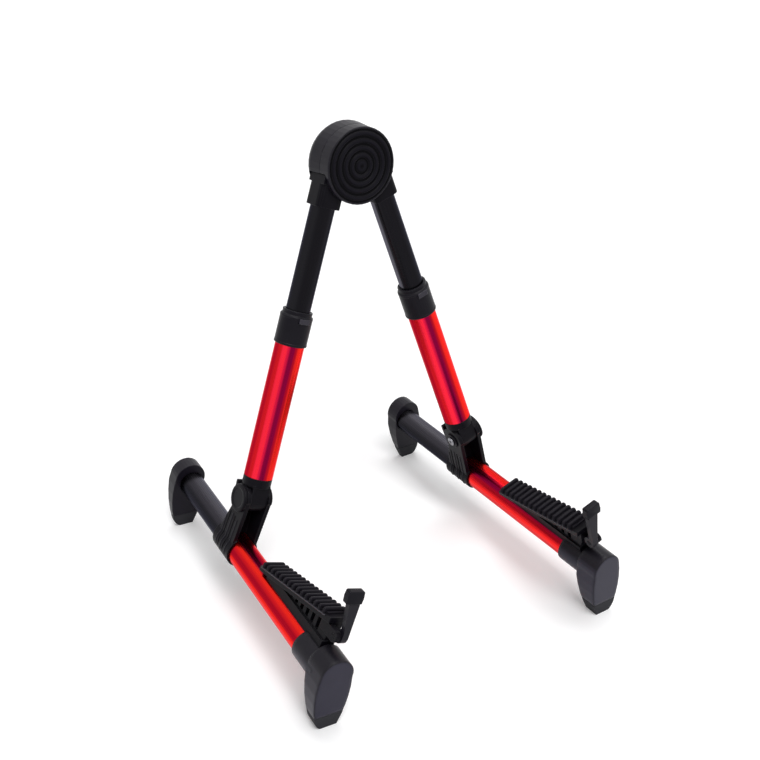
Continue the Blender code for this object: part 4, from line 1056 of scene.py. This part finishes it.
class STAND_OT_tips(bpy.types.Operator):
    """Pull the soft rubber sleeves over the stops"""

    bl_idname = "stand.tips"
    bl_label = "Stop Tips"

    def execute(self, context):
        lean = math.radians(4.2)
        for side in SIDES:
            way = inward(side)
            outline = [(4.8, 32.4), (4.75, 37.0), (4.4, 42.3), (3.6, 43.0), (-9.0, 43.0), (-9.9, 42.2),
                       (-10.0, 37.0), (-9.7, 32.5), (-9.2, 32.0), (4.3, 32.0)]
            work = bmesh.new()
            front = [work.verts.new((way * x, -6.65, z)) for x, z in outline]
            back = [work.verts.new((way * x, -0.45, z)) for x, z in outline]
            work.faces.new(front)
            work.faces.new(back)
            for index in range(len(outline)):
                after = (index + 1) % len(outline)
                work.faces.new((front[index], front[after], back[after], back[index]))
            bmesh.ops.bevel(work, geom=work.edges[:], offset=0.75, segments=3, affect="EDGES", profile=0.6)
            place = stop_frame(side) @ Matrix.Rotation(-lean, 4, "X")
            tip = from_bmesh(side + "_rubber_tip", work, place, 60)
            take_in(tip, side + "_stop", tip_rubber(), (side + "_hook_tip",))
        return {"FINISHED"}


class STAND_OT_studio(bpy.types.Operator):
    """Lay the floor, hang the lamps and set the camera"""

    bl_idname = "stand.studio"
    bl_label = "Studio"

    def execute(self, context):
        props = context.scene.stand_studio
        half = props.floor_size / 2
        mesh = bpy.data.meshes.new("floor")
        corners = [(-half, -half, 0), (half, -half, 0), (half, half, 0), (-half, half, 0)]
        mesh.from_pydata(corners, [], [(0, 1, 2, 3)])
        floor = bpy.data.objects.new("floor", mesh)
        mesh.materials.append(floor_material())
        context.scene.collection.objects.link(floor)
        for name, way, strength, spread in (("key", (-0.17, -0.45, 1.0), props.key_strength, props.key_softness),
                                            ("top", (0.22, 0.28, 1.0), props.top_strength, props.key_softness),
                                            ("fill", (1.0, -0.3, 0.9), props.fill_strength, math.radians(60))):
            lamp = bpy.data.lights.new(name, "SUN")
            lamp.energy = strength
            lamp.angle = spread
            holder = bpy.data.objects.new(name, lamp)
            holder.rotation_euler = Vector(way).to_track_quat("Z", "Y").to_euler()
            context.scene.collection.objects.link(holder)
        world = context.scene.world or bpy.data.worlds.new("World")
        context.scene.world = world
        set_background(world, props.sky)
        set_camera(context.scene)
        return {"FINISHED"}


def seen_rays(nodes, links):
    """1 where the eye, a reflection or a clear part looks at the background, 0 for its light."""
    rays = nodes.new("ShaderNodeLightPath")
    total = rays.outputs["Is Camera Ray"]
    for label in ("Is Glossy Ray", "Is Transmission Ray"):
        both_rays = nodes.new("ShaderNodeMath")
        both_rays.operation = "MAXIMUM"
        links.new(total, both_rays.inputs[0])
        links.new(rays.outputs[label], both_rays.inputs[1])
        total = both_rays.outputs[0]
    return total


def floor_material():
    """Pale floor that meets the white background, and keeps the stand's shadow."""
    made = bpy.data.materials.new("Pale Floor")
    made.use_nodes = True
    nodes, links = made.node_tree.nodes, made.node_tree.links
    shader = nodes["Principled BSDF"]
    shader.inputs["Base Color"].default_value = (0.9, 0.9, 0.905, 1)
    shader.inputs["Roughness"].default_value = 1.0
    shader.inputs["Specular IOR Level"].default_value = 0.0
    shader.inputs["Emission Color"].default_value = (1, 1, 1, 1)
    lift = nodes.new("ShaderNodeMath")
    lift.operation = "MULTIPLY"
    lift.inputs[1].default_value = FLOOR_LIFT
    links.new(seen_rays(nodes, links), lift.inputs[0])
    links.new(lift.outputs[0], shader.inputs["Emission Strength"])
    return made


def set_background(world, strength):
    """White where something looks at it, and a plain level of light everywhere else."""
    world.use_nodes = True
    nodes, links = world.node_tree.nodes, world.node_tree.links
    sky = nodes["Background"]
    sky.inputs["Color"].default_value = (1, 1, 1, 1)
    level = nodes.new("ShaderNodeMix")
    level.inputs[2].default_value = strength
    level.inputs[3].default_value = 1.0
    links.new(seen_rays(nodes, links), level.inputs[0])
    links.new(level.outputs[0], sky.inputs["Strength"])


def set_camera(scene):
    """Camera as the photograph was taken."""
    azimuth, elevation, roll = math.radians(-33.36), math.radians(31.82), math.radians(3.49)
    back = Vector((math.sin(azimuth) * math.cos(elevation), -math.cos(azimuth) * math.cos(elevation),
                   math.sin(elevation)))
    right = (-back).cross(Vector((0, 0, 1))).normalized()
    up = right.cross(-back)
    turned_right = right * math.cos(roll) + up * math.sin(roll)
    turned_up = up * math.cos(roll) - right * math.sin(roll)
    data = bpy.data.cameras.new("camera")
    data.sensor_width = 36
    data.lens = 60.27
    data.shift_x = 0.0529
    data.shift_y = 0.0349
    holder = bpy.data.objects.new("camera", data)
    holder.matrix_world = columns(turned_right, turned_up, back, camera_place())
    scene.collection.objects.link(holder)
    scene.camera = holder
    scene.view_settings.view_transform = "Standard"


class STAND_PT_panel(bpy.types.Panel):
    """Sidebar panel of the guitar stand"""

    bl_idname = "STAND_PT_panel"
    bl_label = "Guitar Stand"
    bl_space_type = "VIEW_3D"
    bl_region_type = "UI"
    bl_category = "Stand"

    def draw(self, context):
        for group in (context.scene.stand_finish, context.scene.stand_rubber, context.scene.stand_studio):
            box = self.layout.box()
            for name in group.bl_rna.properties.keys():
                if name not in ("rna_type", "name"):
                    box.prop(group, name)
        for step in STEPS:
            self.layout.operator("stand." + step)


STEPS = ("plastic", "tubes", "rubber", "steel", "hub_pad", "rests", "knobs", "collar_beads", "bolt_heads",
         "cheek_ridges", "tips", "studio")
CLASSES = (StandFinishProperties, StandRubberProperties, StandStudioProperties, STAND_OT_plastic,
           STAND_OT_tubes, STAND_OT_rubber, STAND_OT_steel, STAND_OT_hub_pad, STAND_OT_rests, STAND_OT_knobs,
           STAND_OT_collar_beads, STAND_OT_bolt_heads, STAND_OT_cheek_ridges, STAND_OT_tips,
           STAND_OT_studio, STAND_PT_panel)


def register():
    for cls in CLASSES:
        bpy.utils.register_class(cls)
    bpy.types.Scene.stand_finish = bpy.props.PointerProperty(type=StandFinishProperties)
    bpy.types.Scene.stand_rubber = bpy.props.PointerProperty(type=StandRubberProperties)
    bpy.types.Scene.stand_studio = bpy.props.PointerProperty(type=StandStudioProperties)


def unregister():
    del bpy.types.Scene.stand_studio
    del bpy.types.Scene.stand_rubber
    del bpy.types.Scene.stand_finish
    for cls in reversed(CLASSES):
        bpy.utils.unregister_class(cls)


def main():
    register()
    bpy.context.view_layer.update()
    for step in STEPS:
        getattr(bpy.ops.stand, step)()


if __name__ == "__main__":
    main()
